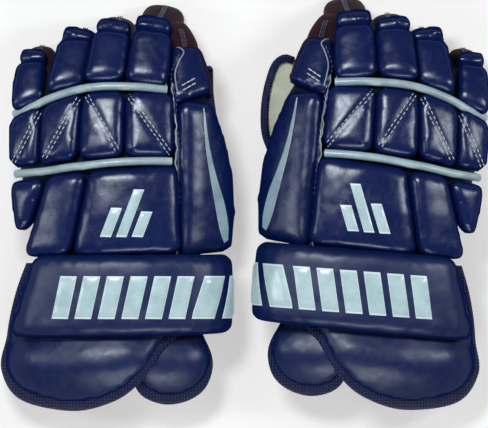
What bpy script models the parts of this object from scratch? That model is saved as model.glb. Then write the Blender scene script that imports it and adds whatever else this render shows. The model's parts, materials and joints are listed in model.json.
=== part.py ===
"""A pair of ice hockey gloves lying palm down with the fingers a little curled.

One glove is a hand body, four fingers of two segments, a thumb of two segments and a cuff.
Both gloves come from the same functions: the left one is built in its own frame, and the
right one is its mirror image. In a glove's frame +Y runs from the cuff to the fingertips,
+X points to the thumb and +Z is up, with the wrist crease at y = 0. Lengths are in metres.

Every hinge has an empty on its axis, with the axis along the empty's X. The pieces that
turn about it are its children.
"""

import math

import bmesh
import bpy
from mathutils import Euler, Matrix, Vector

# Gaps and walls
GAP = 0.0012  # between neighbouring pads and between layers
CLEAR = 0.0028  # from a joint's axis to the pocket on either side of it
WALL = 0.0022  # the fabric and foam wall of every pocket that holds a finger or the hand
LEAF = 0.0030  # the palm leather with its backing
EDGE = 0.0042  # the rounding of a padded roll
ROUND = 2  # segments in a rounding

# The backs of the hand, the thumb and the cuff, as smooth crowned surfaces
CROWN = 0.072  # height of the backing under the pads, at its highest
CROWN_X = 0.004
HAND_ARCH = 3.0  # how fast the backing falls towards the little finger
HAND_DIP = 0.80  # and towards the fingers
DIP_Y = 0.030

HAND_PAD = 0.016  # thickness of the rolls on the back of the hand
KNUCKLE_PAD = 0.014
FINGER_PAD = 0.013
TIP_PAD = 0.008
THUMB_PAD = 0.014
THUMB_TIP_PAD = 0.011
CUFF_ROLL = 0.018
FLAP = 0.0070

PIPE = 0.0033  # radius of the pale piping

# The lines between the four finger columns: (x, y) at the lower and at the upper piping
COLUMNS = (
    ((-0.087, 0.071), (-0.087, 0.109)),
    ((-0.064, 0.073), (-0.061, 0.120)),
    ((-0.033, 0.078), (-0.029, 0.130)),
    ((0.0035, 0.080), (0.0045, 0.131)),
    ((0.0435, 0.080), (0.042, 0.129)),
)
DIGITS = ("pinkie", "ring", "middle", "index")

# Each finger: knuckle (x, y), lean to the thumb side, roll, pitch of its two segments, in degrees,
# their lengths, the widths at the knuckle, at the second joint and at the tip, and how far the
# roll's lower edge slants across the finger's width.
FINGERS = {
    "index": ((0.0212, 0.1405), 8, -3, (16, 56), (0.041, 0.046), (0.0325, 0.0285, 0.0255), 0.000),
    "middle": ((-0.0135, 0.1420), 10, 0, (19, 66), (0.040, 0.042), (0.0300, 0.0268, 0.0245), 0.003),
    "ring": ((-0.0452, 0.1355), 12, 3, (19, 66), (0.040, 0.037), (0.0280, 0.0250, 0.0225), 0.006),
    "pinkie": ((-0.0757, 0.1215), 2, 7, (18, 55), (0.035, 0.030), (0.0245, 0.0215, 0.0195), 0.005),
}
FINGER_DEPTH = 0.022  # a finger pocket, from its back to its palm side
FINGER_INSET = 0.0042  # a finger pocket is this much narrower than its roll
KNUCKLE_CURL = 35  # degrees that a finger curls at the knuckle from rest
TIP_CURL = 27  # and its tip at the second joint
HAND_BEVEL = 22  # how far the hand pocket's end is cut back under the knuckles, in degrees
WEDGE_SPARE = 1.0  # degrees of extra room in each cut

# The thumb
SEAM_X = 0.0475  # the seam between hand and thumb, which the thumb turns about
SEAM_Z = 0.0615
THUMB_FALL = 0.35  # the thumb's back falls away from the seam with this slope
THUMB_ARCH = 9.0  # and this curvature
THUMB_BREAK = (0.0630, 0.1265)  # where its tip bends
THUMB_TIP_LEAN = -2
THUMB_TIP_ROLL = -24
THUMB_TIP_PITCH = 18
THUMB_TIP_LENGTH = 0.054
THUMB_TIP_WIDTHS = (0.029, 0.020)
THUMB_TIP_COVER = 0.62  # share of the tip's length under its roll
THUMB_CURL = 25  # degrees that the tip bends, with a little to spare
THUMB_TIP_BEVEL = 14  # how far the tip's pocket is cut back at the joint, in degrees
THUMB_BASE_BEVEL = THUMB_CURL + THUMB_TIP_PITCH - 12  # and the base's pocket
THUMB_SLANT = 1.1  # the base's pocket starts further along on the hand's side, to clear the cuff
THUMB_HOLE = Vector((0.047, 0.034, 0.030))  # where the thumb leaves the hand's pocket
THUMB_HOLE_RADIUS = 0.014

# The cuff
WRIST_FLEX = 20  # degrees that the cuff bends towards the palm
WRIST_TOP = 0.071
CUFF_END = -0.088  # the end of the soft pocket at the wrist
CUFF_RISE = 0.005  # the flaps puff up this much past the roll's lower edge, then fall
BELL_RADIUS = 0.070  # past the roll, the flaps open out to this radius on the thumb side
ARCH_X, ARCH_Z = 0.006, 0.0735  # crown of the arch that the roll lies on
ARCH_RADIUS = 0.20
ARCH_THUMB = (0.050, 0.028)  # how far from the crown the arch turns down, and its radius there
ARCH_PINKIE = (0.060, 0.075)
ROLL_SLANT = 0.020  # the roll reaches this much further round at the little finger's lower corner
UNDERSIDE = 0.0010  # height of the flat under the cuff, which the glove rests on
FLAT_DEPTH = 0.0015  # what lies less than this above it is pressed flat
# The flaps' edges: (distance round the arch, y)
OUTER_EDGE = (
    (-0.086, -0.008), (-0.098, -0.034), (-0.109, -0.068), (-0.110, -0.098), (-0.088, -0.121),
    (-0.046, -0.130), (-0.012, -0.122), (0.010, -0.106), (0.029, -0.080), (0.046, -0.060), (0.050, -0.008),
)
INNER_EDGE = (
    (0.004, -0.030), (0.002, -0.080), (0.008, -0.112), (0.028, -0.124), (0.051, -0.122),
    (0.071, -0.110), (0.080, -0.088), (0.078, -0.062), (0.071, -0.020),
)
OUTER_ROOT = (-0.066, 0.044)  # from where to where each flap is sewn in, round the arch
INNER_ROOT = (0.020, 0.063)

# The pair
GLOVE_SPREAD = 0.1035  # from the pair's middle to each glove's own axis
RIGHT_TURN = -4.5  # the right glove lies turned by this much
RIGHT_PIVOT = Vector((-0.046, 0.030, 0))  # in the right glove's own frame, before mirroring

NAVY = ("navy_leather", (0.012, 0.018, 0.085), 0.28)
PALE = ("pale_piping", (0.50, 0.58, 0.60), 0.35)
BROWN = ("brown_palm", (0.105, 0.032, 0.020), 0.70)
LINING = ("lining_mesh", (0.012, 0.017, 0.060), 0.85)

SOFT = {}  # materials by name


def clear_scene():
    for obj in list(bpy.data.objects):
        bpy.data.objects.remove(obj, do_unlink=True)


def material(kind):
    """The Principled material for one of the kinds above, made once."""
    name, colour, roughness = kind
    if name not in SOFT:
        made = bpy.data.materials.new(name)
        made.use_nodes = True
        shader = made.node_tree.nodes["Principled BSDF"]
        shader.inputs["Base Color"].default_value = (*colour, 1)
        shader.inputs["Roughness"].default_value = roughness
        shader.inputs["Metallic"].default_value = 0.0
        made.diffuse_color = (*colour, 1)
        SOFT[name] = made
    return SOFT[name]


def add_object(name, data, parent, kind):
    obj = bpy.data.objects.new(name, data)
    GLOVES.objects.link(obj)
    obj.parent = parent
    data.materials.append(material(kind))
    return obj


def add_empty(name, parent, location, rotation):
    """An empty at a hinge. Its X axis is the hinge's axis."""
    empty = bpy.data.objects.new(name, None)
    GLOVES.objects.link(empty)
    empty.empty_display_size = 0.01
    empty.parent = parent
    empty.location = location
    empty.rotation_euler = rotation
    return empty


def shade(obj, angle=50):
    obj.data.shade_smooth()
    obj.data.set_sharp_from_angle(angle=math.radians(angle))


def solidify(obj, thickness, offset):
    """offset 1 grows the shell along the surface's normals, and -1 against them."""
    modifier = obj.modifiers.new("Wall", "SOLIDIFY")
    modifier.thickness = thickness
    modifier.offset = offset
    modifier.use_even_offset = True
    return modifier


def bevel(obj, width, segments=ROUND, angle=50):
    modifier = obj.modifiers.new("Rounding", "BEVEL")
    modifier.width = width
    modifier.segments = segments
    modifier.limit_method = "ANGLE"
    modifier.angle_limit = math.radians(angle)
    modifier.use_clamp_overlap = True
    return modifier


def blend(a, b, t):
    return a + (b - a) * t


# Surfaces that the pads lie on


def hand_back(x, y):
    return CROWN - HAND_ARCH * (x - CROWN_X) ** 2 - HAND_DIP * (y - DIP_Y) ** 2


def hand_palm(x, y):
    """The palm: lowest at the heel of the hand, rising to the finger roots and to the sides."""
    rise = 0.024 * max(0.0, (y - 0.010) / 0.120) ** 1.6
    return 0.001 + rise + 0.9 * (x + 0.020) ** 2


def thumb_back(x, _y):
    out = x - SEAM_X
    return SEAM_Z - THUMB_FALL * out - THUMB_ARCH * out**2


def wrist_arch(s, opening):
    """The arch over the wrist, s metres along it from its crown: x, z, and the angle it has turned.
    opening, from 0 to 1, widens its thumb side."""
    shoulder, radius = ARCH_THUMB if s > 0 else ARCH_PINKIE
    if s > 0:
        radius = blend(radius, BELL_RADIUS, opening)
    top = min(abs(s), shoulder) / ARCH_RADIUS
    x, z = ARCH_RADIUS * math.sin(top), -ARCH_RADIUS * (1 - math.cos(top))
    angle = top
    if abs(s) > shoulder:
        angle = top + (abs(s) - shoulder) / radius
        x += radius * (math.sin(angle) - math.sin(top))
        z -= radius * (math.cos(top) - math.cos(angle))
    side = math.copysign(1, s)
    return ARCH_X + side * x, ARCH_Z + z, side * angle


def cuff_point(s, y, height, opening=0.0):
    """The point at y, s metres round the arch and height above it."""
    x, z, angle = wrist_arch(s, opening)
    return Vector((x + height * math.sin(angle), y, z + height * math.cos(angle)))


def smooth(a, b, t):
    """0 below a, 1 above b, and a smooth step between."""
    t = min(1.0, max(0.0, (t - a) / (b - a)))
    return t * t * (3 - 2 * t)


def flap_point(s, y, layer):
    """A point of a flap, which puffs up past the roll, opens out, and falls to its edge."""
    beyond = max(0.0, -y - 0.080)
    point = cuff_point(s, y, layer + CUFF_RISE * smooth(0.066, 0.095, -y), smooth(0.050, 0.105, -y))
    point.z -= 3.0 * beyond**2 * (1 + 40 * beyond)
    return point


# Builders for the kinds of shape


def surface_mesh(name, across, along, point):
    """A grid of quads whose corners are point(u, v), with u and v from 0 to 1."""
    built = bmesh.new()
    bmesh.ops.create_grid(built, x_segments=across, y_segments=along, size=0.5)
    for vertex in built.verts:
        vertex.co = point(vertex.co.x + 0.5, vertex.co.y + 0.5)
    mesh = bpy.data.meshes.new(name)
    built.to_mesh(mesh)
    built.free()
    return mesh


def corner_pad(name, parent, corners, surface, thickness, divisions, bulge=0.0, edge=EDGE):
    """A padded roll on a surface. corners are (x, y): lower left, lower right, upper left, upper right."""
    low_left, low_right, up_left, up_right = (Vector(c) for c in corners)

    def point(u, v):
        flat = blend(blend(low_left, low_right, u), blend(up_left, up_right, u), v)
        x = flat.x + bulge * u * 4 * v * (1 - v)
        return Vector((x, flat.y, surface(x, flat.y) + GAP))

    obj = add_object(name, surface_mesh(name, *divisions, point), parent, NAVY)
    solidify(obj, thickness, 1)
    bevel(obj, edge)
    shade(obj)
    return obj


def ring(half_width, top, bottom, station, lean, count=12, squareness=2.7, centre=0.0):
    """A rounded cross-section. It stands at y = station at its top, and lean tilts it: its
    lowest point lies lean times its depth further along."""
    points = []
    for k in range(count):
        turn = 2 * math.pi * (k + 0.5) / count
        side = math.copysign(abs(math.cos(turn)) ** (2 / squareness), math.cos(turn))
        up = math.copysign(abs(math.sin(turn)) ** (2 / squareness), math.sin(turn))
        z = (top + bottom) / 2 + up * (top - bottom) / 2
        points.append(Vector((centre + side * half_width, station + lean * (top - z), z)))
    return points


def loft(name, parent, rings, wall, kind, closed=False):
    """A pocket: a tube through the rings, with a wall grown inwards. closed shuts its far end."""
    built = bmesh.new()
    rows = [[built.verts.new(p) for p in points] for points in rings]
    count = len(rows[0])
    for near, far in zip(rows, rows[1:]):
        for k in range(count):
            after = (k + 1) % count
            built.faces.new((near[k], near[after], far[after], far[k]))
    if closed:
        middle = sum((v.co for v in rows[-1]), Vector()) / count
        cap = built.verts.new(middle)
        for k in range(count):
            built.faces.new((rows[-1][k], rows[-1][(k + 1) % count], cap))
    bmesh.ops.recalc_face_normals(built, faces=built.faces)
    if not closed:
        point_outwards(built)
    mesh = bpy.data.meshes.new(name)
    built.to_mesh(mesh)
    built.free()
    obj = add_object(name, mesh, parent, kind)
    solidify(obj, wall, -1)
    shade(obj)
    return obj


def point_outwards(built):
    """Turns an open tube's faces to look away from its middle."""
    middle = sum((v.co for v in built.verts), Vector()) / len(built.verts)
    outward = sum((f.calc_center_median() - middle).dot(f.normal) for f in built.faces)
    if outward < 0:
        bmesh.ops.reverse_faces(built, faces=built.faces)


def union(obj, other):
    """Joins other to obj, and hides it."""
    modifier = obj.modifiers.new("Join", "BOOLEAN")
    modifier.operation = "UNION"
    modifier.object = other
    hide_helper(other)


def cut(obj, other):
    modifier = obj.modifiers.new("Cut", "BOOLEAN")
    modifier.operation = "DIFFERENCE"
    modifier.object = other
    hide_helper(other)


def hide_helper(obj):
    for collection in obj.users_collection:
        collection.objects.unlink(obj)
    HELPERS.objects.link(obj)
    obj.hide_render = True
    obj.display_type = "WIRE"


def slope(degrees):
    return math.tan(math.radians(degrees))


# The hand


def hand_liner(parent, side):
    """The pocket that the hand fills, open at the wrist and at the knuckles."""
    stations = (
        # y on the axis, x from, x to, lean of the section, slant of y across x
        (0.004, -0.066, 0.040, slope(WRIST_FLEX / 2 + WEDGE_SPARE), 0.00),
        (0.045, -0.074, 0.042, 0.0, 0.05),
        (0.085, -0.080, 0.041, 0.0, 0.10),
        (0.131, -0.083, 0.038, -slope(HAND_BEVEL), 0.16),
    )
    rings = []
    for y, left, right, lean, slant in stations:
        points = []
        for flat in ring((right - left) / 2, 1, -1, 0, 0, count=20, centre=(left + right) / 2):
            x = flat.x
            ahead = y + slant * min(0.0, x - 0.01)
            top = hand_back(x, ahead) - GAP
            bottom = hand_palm(x, ahead) + LEAF + 2 * GAP
            z = blend(bottom, top, (flat.z + 1) / 2)
            points.append(Vector((x, ahead + lean * (top - z), z)))
        rings.append(points)
    obj = loft(f"{side}_hand_liner", parent, rings, WALL, LINING)
    hole = bpy.data.meshes.new("thumb_hole")
    built = bmesh.new()
    bmesh.ops.create_cone(
        built, cap_ends=True, segments=12, radius1=THUMB_HOLE_RADIUS, radius2=THUMB_HOLE_RADIUS, depth=0.05,
        matrix=Matrix.Translation(THUMB_HOLE) @ Euler((0, math.pi / 2, 0)).to_matrix().to_4x4(),
    )
    built.to_mesh(hole)
    built.free()
    cut(obj, add_object(f"{side}_thumb_hole", hole, parent, LINING))
    return obj


def palm(parent, side):
    """The palm leather, from the heel of the hand to the finger roots."""
    def point(u, v):
        left = blend(-0.058, -0.074, v)
        right = blend(0.030, 0.032, v)
        x = blend(left, right, u)
        y = blend(0.018, 0.118 + 0.16 * min(0.0, x - 0.01), v)
        return Vector((x, y, hand_palm(x, y) + LEAF))

    obj = add_object(f"{side}_palm", surface_mesh("palm", 6, 4, point), parent, BROWN)
    solidify(obj, LEAF, -1)
    shade(obj)
    return obj


def knuckle_pads(parent, side):
    """One roll for each finger, between the two pipings."""
    for number, digit in enumerate(DIGITS):
        (left_low, left_up), (right_low, right_up) = COLUMNS[number], COLUMNS[number + 1]
        apart = Vector((GAP, 0))
        corners = (
            Vector(left_low) + apart,
            Vector(right_low) - apart,
            Vector(left_up) + apart,
            Vector(right_up) - apart,
        )
        corner_pad(f"{side}_knuckle_pad_{digit}", parent, corners, hand_back, KNUCKLE_PAD, (2, 2))


def back_pads(parent, side):
    """The three rolls between the lower piping and the wrist."""
    pads = {
        "main": (((-0.036, 0.001), (0.0465, 0.003), (-0.0225, 0.066), (0.0445, 0.071)), (4, 2)),
        "ring": (((-0.074, 0.000), (-0.0392, 0.001), (-0.054, 0.063), (-0.0262, 0.065)), (2, 2)),
        "pinkie": (((-0.080, 0.019), (-0.0715, 0.024), (-0.084, 0.058), (-0.058, 0.0605)), (2, 2)),
    }
    for name, (corners, divisions) in pads.items():
        corner_pad(f"{side}_back_pad_{name}", parent, corners, hand_back, HAND_PAD, divisions)


def piping(name, parent, route, height):
    """A pale welt that lies in the groove between two rows of rolls."""
    line = bpy.data.curves.new(name, "CURVE")
    line.dimensions = "3D"
    line.bevel_depth = PIPE
    line.bevel_resolution = 2
    line.use_fill_caps = True
    spline = line.splines.new("POLY")
    spline.points.add(len(route) - 1)
    for point, (x, y) in zip(spline.points, route):
        point.co = (x, y, hand_back(x, y) + height, 1)
    return add_object(name, line, parent, PALE)


def pipings(parent, side):
    lower = (
        (-0.085, 0.0655), (-0.072, 0.0665), (-0.058, 0.068), (-0.042, 0.0705), (-0.024, 0.0725),
        (-0.006, 0.0745), (0.012, 0.0755), (0.028, 0.0758), (0.040, 0.0755),
    )
    upper = (
        (-0.086, 0.1165), (-0.074, 0.1200), (-0.060, 0.1265), (-0.046, 0.1315), (-0.030, 0.1355),
        (-0.014, 0.1372), (0.004, 0.1372), (0.020, 0.1365), (0.036, 0.1345),
    )
    piping(f"{side}_piping_lower", parent, lower, 0.0085)
    piping(f"{side}_piping_upper", parent, upper, 0.0075)


# The fingers


def segment_frame(name, parent, location, lean, roll, pitch):
    """An empty whose X is the hinge, whose Y runs along the segment and whose Z is its back."""
    turn = (
        Euler((0, 0, math.radians(-lean))).to_matrix()
        @ Euler((0, math.radians(-roll), 0)).to_matrix()
        @ Euler((math.radians(-pitch), 0, 0)).to_matrix()
    )
    return add_empty(name, parent, location, turn.to_euler())


def finger_roll(name, parent, near_width, far_width, start, end, slant, thickness, crown=6.0):
    """The padded roll on a segment's back, a little crowned across."""
    def point(u, v):
        across = u - 0.5
        x = across * blend(near_width, far_width, v)
        y = blend(start + slant * 2 * across, end + slant * 0.35 * 2 * across, v)
        return Vector((x, y, GAP - crown * x * x + crown * (near_width / 2) ** 2 * 0.3))

    obj = add_object(name, surface_mesh(name, 2, 1, point), parent, NAVY)
    solidify(obj, thickness, 1)
    bevel(obj, EDGE)
    shade(obj)
    return obj


def finger(parent, side, digit):
    (x, y), lean, roll, pitches, lengths, widths, slant = FINGERS[digit]
    near_bevel = slope(pitches[0] + KNUCKLE_CURL - HAND_BEVEL + WEDGE_SPARE)
    joint_bevel = slope((pitches[1] - pitches[0] + TIP_CURL) / 2 - WEDGE_SPARE)
    top, bottom = -GAP, -FINGER_DEPTH
    knuckle = segment_frame(
        f"{side}_{digit}_knuckle", parent, (x, y, hand_back(x, y)), lean, roll, pitches[0]
    )
    rings = (
        ring((widths[0] - FINGER_INSET) / 2, top, bottom, CLEAR, near_bevel),
        ring((widths[1] - FINGER_INSET) / 2, top, bottom, lengths[0] - CLEAR, -joint_bevel),
    )
    loft(f"{side}_{digit}_sleeve", knuckle, rings, WALL, LINING)
    finger_roll(
        f"{side}_{digit}_pad", knuckle, widths[0], widths[1], 0.0010, lengths[0] - 0.0012, slant, FINGER_PAD
    )

    joint = add_empty(
        f"{side}_{digit}_joint", knuckle, (0, lengths[0], 0),
        (math.radians(pitches[0] - pitches[1]), 0, 0),
    )
    fingertip(f"{side}_{digit}_tip", joint, lengths[1], widths[1:], joint_bevel, TIP_PAD)


def fingertip(name, parent, length, widths, bevel_slope, pad, cover=0.55):
    """A closed thimble with a roll sewn to its back. cover is the roll's share of its length."""
    top, bottom = -GAP, -FINGER_DEPTH
    wide, slim = (width - FINGER_INSET for width in widths)
    rings = (
        ring(wide / 2, top, bottom, CLEAR, bevel_slope),
        ring(blend(wide, slim, 0.6) / 2, top, bottom, length * 0.62, 0.0),
        ring(slim / 2, top - 0.001, bottom + 0.001, length * 0.84, 0.0),
        ring(slim / 2 * 0.72, top - 0.005, bottom + 0.004, length * 0.97, 0.0),
    )
    thimble = loft(name, parent, rings, WALL, BROWN, closed=True)

    def point(u, v):
        x = (u - 0.5) * blend(widths[0], widths[1], v)
        return Vector((x, blend(0.0018, length * cover, v), -0.0022))

    roll = add_object(name + "_roll", surface_mesh(name, 1, 1, point), parent, NAVY)
    solidify(roll, pad, 1)
    bevel(roll, EDGE * 0.7, 1)
    union(thimble, roll)
    return thimble


# The thumb


def thumb(parent, side):
    """A base that turns about its seam with the hand, and a tip that bends."""
    root = add_empty(
        f"{side}_thumb_seam", parent, (SEAM_X, 0.060, SEAM_Z), (0, 0, math.radians(90))
    )
    held = add_empty(
        f"{side}_thumb_held", root, root_offset(root), root.rotation_euler.to_matrix().inverted().to_euler()
    )
    corners = ((0.0485, 0.001), (0.0855, 0.0065), (0.0485, 0.1235), (0.0705, 0.1230))
    corner_pad(f"{side}_thumb_pad", held, corners, thumb_back, THUMB_PAD, (3, 4), bulge=0.009)

    rings = []
    for y, centre, half, top, bottom in (
        (0.014, 0.0650, 0.0150, 0.0470, 0.0055),
        (0.060, 0.0670, 0.0160, 0.0475, 0.0060),
        (0.1215, 0.0620, 0.0130, 0.0480, 0.0200),
    ):
        lean = -slope(THUMB_BASE_BEVEL) if y > 0.1 else 0.0
        points = ring(half, top, bottom, y, lean, squareness=2.2, centre=centre)
        if y < 0.05:
            for point in points:
                point.y += THUMB_SLANT * max(0.0, centre + half - point.x)
        rings.append(points)
    loft(f"{side}_thumb_sleeve", held, rings, WALL, LINING)

    x, y = THUMB_BREAK
    joint = segment_frame(
        f"{side}_thumb_joint", held, (x, y, thumb_back(x, y) + 0.0005), THUMB_TIP_LEAN, THUMB_TIP_ROLL,
        THUMB_TIP_PITCH,
    )
    fingertip(
        f"{side}_thumb_tip", joint, THUMB_TIP_LENGTH, THUMB_TIP_WIDTHS, slope(THUMB_TIP_BEVEL),
        THUMB_TIP_PAD, THUMB_TIP_COVER,
    )


def root_offset(root):
    """Where the glove's own origin lies in the frame of the empty root."""
    return root.rotation_euler.to_matrix().inverted() @ -root.location


# The cuff


def cuff(parent, side):
    wrist = add_empty(f"{side}_wrist", parent, (0, 0, WRIST_TOP), (0, 0, 0))
    held = add_empty(f"{side}_cuff_held", wrist, (0, 0, -WRIST_TOP), (0, 0, 0))
    cuff_liner(held, side)
    cuff_roll(held, side)
    flap(f"{side}_cuff_flap_outer", held, OUTER_EDGE, -GAP, OUTER_ROOT)
    flap(f"{side}_cuff_flap_inner", held, INNER_EDGE, -FLAP - 3 * GAP, INNER_ROOT)


def cuff_liner(parent, side):
    """The soft pocket at the wrist, which the arm goes in through."""
    rings = []
    for y, left, right, top, bottom, lean in (
        (-0.002, -0.059, 0.053, 0.0550, 0.0040, -slope(WRIST_FLEX / 2 + WEDGE_SPARE)),
        (-0.046, -0.058, 0.055, 0.0550, 0.0010, 0.0),
        (CUFF_END, -0.059, 0.055, 0.0530, 0.0010, 0.0),
    ):
        half, centre = (right - left) / 2, (left + right) / 2
        points = ring(half, top, bottom, y, lean, count=18, squareness=2.6, centre=centre)
        for point in points:
            if point.z < UNDERSIDE + FLAT_DEPTH:
                point.z = UNDERSIDE
        rings.append(points)
    return loft(f"{side}_cuff_liner", parent, rings, WALL, BROWN)


def cuff_roll(parent, side):
    """The wide roll over the wrist, bent round the thumb side."""
    stations = (-0.070, -0.062, -0.050, -0.034, -0.012, 0.012, 0.035, 0.050, 0.059, 0.068, 0.077, 0.086)
    section = (  # (along y, above the underside), as shares of the width and the thickness
        (0, 0.30), (0, 0.68), (0.035, 0.92), (0.09, 1), (0.91, 1), (0.965, 0.92), (1, 0.68), (1, 0.30),
        (0.95, 0.04), (0.05, 0.04),
    )
    built = bmesh.new()
    rows = []
    for number, s in enumerate(stations):
        share = number / (len(stations) - 1)
        end = min(number, len(stations) - 1 - number)
        thick = CUFF_ROLL * (0.72, 0.96)[end] if end < 2 else CUFF_ROLL
        start, stop = blend(-0.0045, -0.0040, share), blend(-0.068, -0.064, share)
        row = []
        for along, above in section:
            reach = s - ROLL_SLANT * along * max(0.0, 1 - number / 3)
            row.append(built.verts.new(cuff_point(reach, blend(start, stop, along), above * thick)))
        rows.append(row)
    for near, far in zip(rows, rows[1:]):
        for k in range(len(section)):
            after = (k + 1) % len(section)
            built.faces.new((near[k], near[after], far[after], far[k]))
    built.faces.new(rows[0])
    built.faces.new(rows[-1])
    bmesh.ops.recalc_face_normals(built, faces=built.faces)
    mesh = bpy.data.meshes.new("cuff_roll")
    built.to_mesh(mesh)
    built.free()
    obj = add_object(f"{side}_cuff_roll", mesh, parent, NAVY)
    shade(obj)
    return obj


def curve_through(points, t):
    """A point on the smooth curve through the points, with t from 0 to 1 (Catmull-Rom)."""
    place = t * (len(points) - 1)
    k = min(int(place), len(points) - 2)
    f = place - k
    before, a = Vector(points[max(k - 1, 0)]), Vector(points[k])
    b, after = Vector(points[k + 1]), Vector(points[min(k + 2, len(points) - 1)])
    return 0.5 * (
        2 * a + (b - before) * f + (2 * before - 5 * a + 4 * b - after) * f**2
        + (3 * a - before - 3 * b + after) * f**3
    )


def flap(name, parent, edge, layer, root):
    """A padded flap of the cuff's bell: from its root line under the roll out to its edge."""
    root_y = edge[0][1]

    def point(u, v):
        start = Vector((blend(*root, u), root_y))
        flat = blend(start, curve_through(edge, u), v)
        return flap_point(flat.x, flat.y, layer)

    obj = add_object(name, surface_mesh(name, 12, 4, point), parent, NAVY)
    solidify(obj, FLAP, 1)  # the sheet runs backwards, so its normals point down
    shade(obj)
    return obj


# The pair


def glove(side, parent):
    hand_liner(parent, side)
    palm(parent, side)
    knuckle_pads(parent, side)
    back_pads(parent, side)
    pipings(parent, side)
    for digit in FINGERS:
        finger(parent, side, digit)
    thumb(parent, side)
    cuff(parent, side)


def corners_of_all():
    """Every evaluated vertex of the gloves, in world space."""
    bpy.context.view_layer.update()
    graph = bpy.context.evaluated_depsgraph_get()
    for obj in GLOVES.objects:
        if obj.type == "EMPTY":
            continue
        evaluated = obj.evaluated_get(graph)
        mesh = evaluated.to_mesh()
        for vertex in mesh.vertices:
            yield evaluated.matrix_world @ vertex.co
        evaluated.to_mesh_clear()


def stand_on_origin(pair):
    """Puts the middle of the pair's underside at the origin."""
    points = list(corners_of_all())
    low = Vector([min(p[k] for p in points) for k in range(3)])
    high = Vector([max(p[k] for p in points) for k in range(3)])
    pair.location = (-(low.x + high.x) / 2, -(low.y + high.y) / 2, -low.z)


def build():
    pair = add_empty("pair", None, (0, 0, 0), (0, 0, 0))
    left = add_empty("left_glove", pair, (-GLOVE_SPREAD, 0, 0), (0, 0, 0))
    turn = Matrix.Rotation(math.radians(RIGHT_TURN), 3, "Z")
    mirrored_pivot = Vector((-RIGHT_PIVOT.x, RIGHT_PIVOT.y, 0))
    shift = mirrored_pivot - turn @ mirrored_pivot
    right = add_empty("right_glove", pair, Vector((GLOVE_SPREAD, 0, 0)) + shift, turn.to_euler())
    right.scale = (-1, 1, 1)
    glove("left", left)
    glove("right", right)
    stand_on_origin(pair)


clear_scene()
GLOVES = bpy.data.collections.new("hockey_gloves")
HELPERS = bpy.data.collections.new("helpers")
bpy.context.scene.collection.children.link(GLOVES)
bpy.context.scene.collection.children.link(HELPERS)
HELPERS.hide_render = True
build()
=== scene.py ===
"""The looks of a pair of ice hockey gloves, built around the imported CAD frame.

Every piece is made once in a glove's own frame (+Y to the fingertips, +X to the thumb, +Z up,
wrist crease at y = 0) and placed twice: as it is for the left glove, mirrored and turned a little
for the right.
Lengths are in metres.
"""

import json
import math

import bmesh
import bpy
import numpy as np
from mathutils import Euler, Matrix, Vector, noise
from mathutils.bvhtree import BVHTree


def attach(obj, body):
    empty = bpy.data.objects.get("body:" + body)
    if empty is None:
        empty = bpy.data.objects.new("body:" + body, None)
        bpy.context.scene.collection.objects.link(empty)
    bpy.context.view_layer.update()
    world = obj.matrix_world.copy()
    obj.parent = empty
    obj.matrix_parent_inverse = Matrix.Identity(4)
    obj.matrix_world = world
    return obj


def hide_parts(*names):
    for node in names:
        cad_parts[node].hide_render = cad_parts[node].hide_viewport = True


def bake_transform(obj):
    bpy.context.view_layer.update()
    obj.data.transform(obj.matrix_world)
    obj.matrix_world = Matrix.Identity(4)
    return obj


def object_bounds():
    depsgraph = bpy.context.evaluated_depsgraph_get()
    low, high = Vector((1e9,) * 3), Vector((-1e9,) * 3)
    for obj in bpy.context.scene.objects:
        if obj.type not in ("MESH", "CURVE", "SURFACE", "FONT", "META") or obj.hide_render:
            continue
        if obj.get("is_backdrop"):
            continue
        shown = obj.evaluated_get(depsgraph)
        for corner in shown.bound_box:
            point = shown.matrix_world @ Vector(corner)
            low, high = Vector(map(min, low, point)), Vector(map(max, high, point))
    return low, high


SIDES = ("left", "right")
DIGITS = ("index", "middle", "ring", "pinkie")

# The CAD's driving sizes that the looks need
WRIST_TOP = 0.071
CROWN, CROWN_X, HAND_ARCH, HAND_DIP, DIP_Y = 0.072, 0.004, 3.0, 0.80, 0.030
ARCH_X, ARCH_Z, ARCH_RADIUS = 0.006, 0.0735, 0.20
ARCH_THUMB, ARCH_PINKIE = (0.050, 0.028), (0.060, 0.075)
BELL_RADIUS = 0.070
CUFF_RISE = 0.005
FLAP, OUTER_LAYER, INNER_LAYER = 0.0070, -0.0012, -0.0106
OUTER_EDGE = (
    (-0.086, -0.008), (-0.098, -0.034), (-0.109, -0.068), (-0.110, -0.098), (-0.088, -0.121),
    (-0.046, -0.130), (-0.012, -0.122), (0.010, -0.106), (0.029, -0.080), (0.046, -0.060), (0.050, -0.008),
)
INNER_EDGE = (
    (0.004, -0.030), (0.002, -0.080), (0.008, -0.112), (0.028, -0.124), (0.051, -0.122),
    (0.071, -0.110), (0.080, -0.088), (0.078, -0.062), (0.071, -0.020),
)
OUTER_ROOT, INNER_ROOT = (-0.066, 0.044), (0.020, 0.063)
POCKET_DEPTH = 0.022
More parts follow.
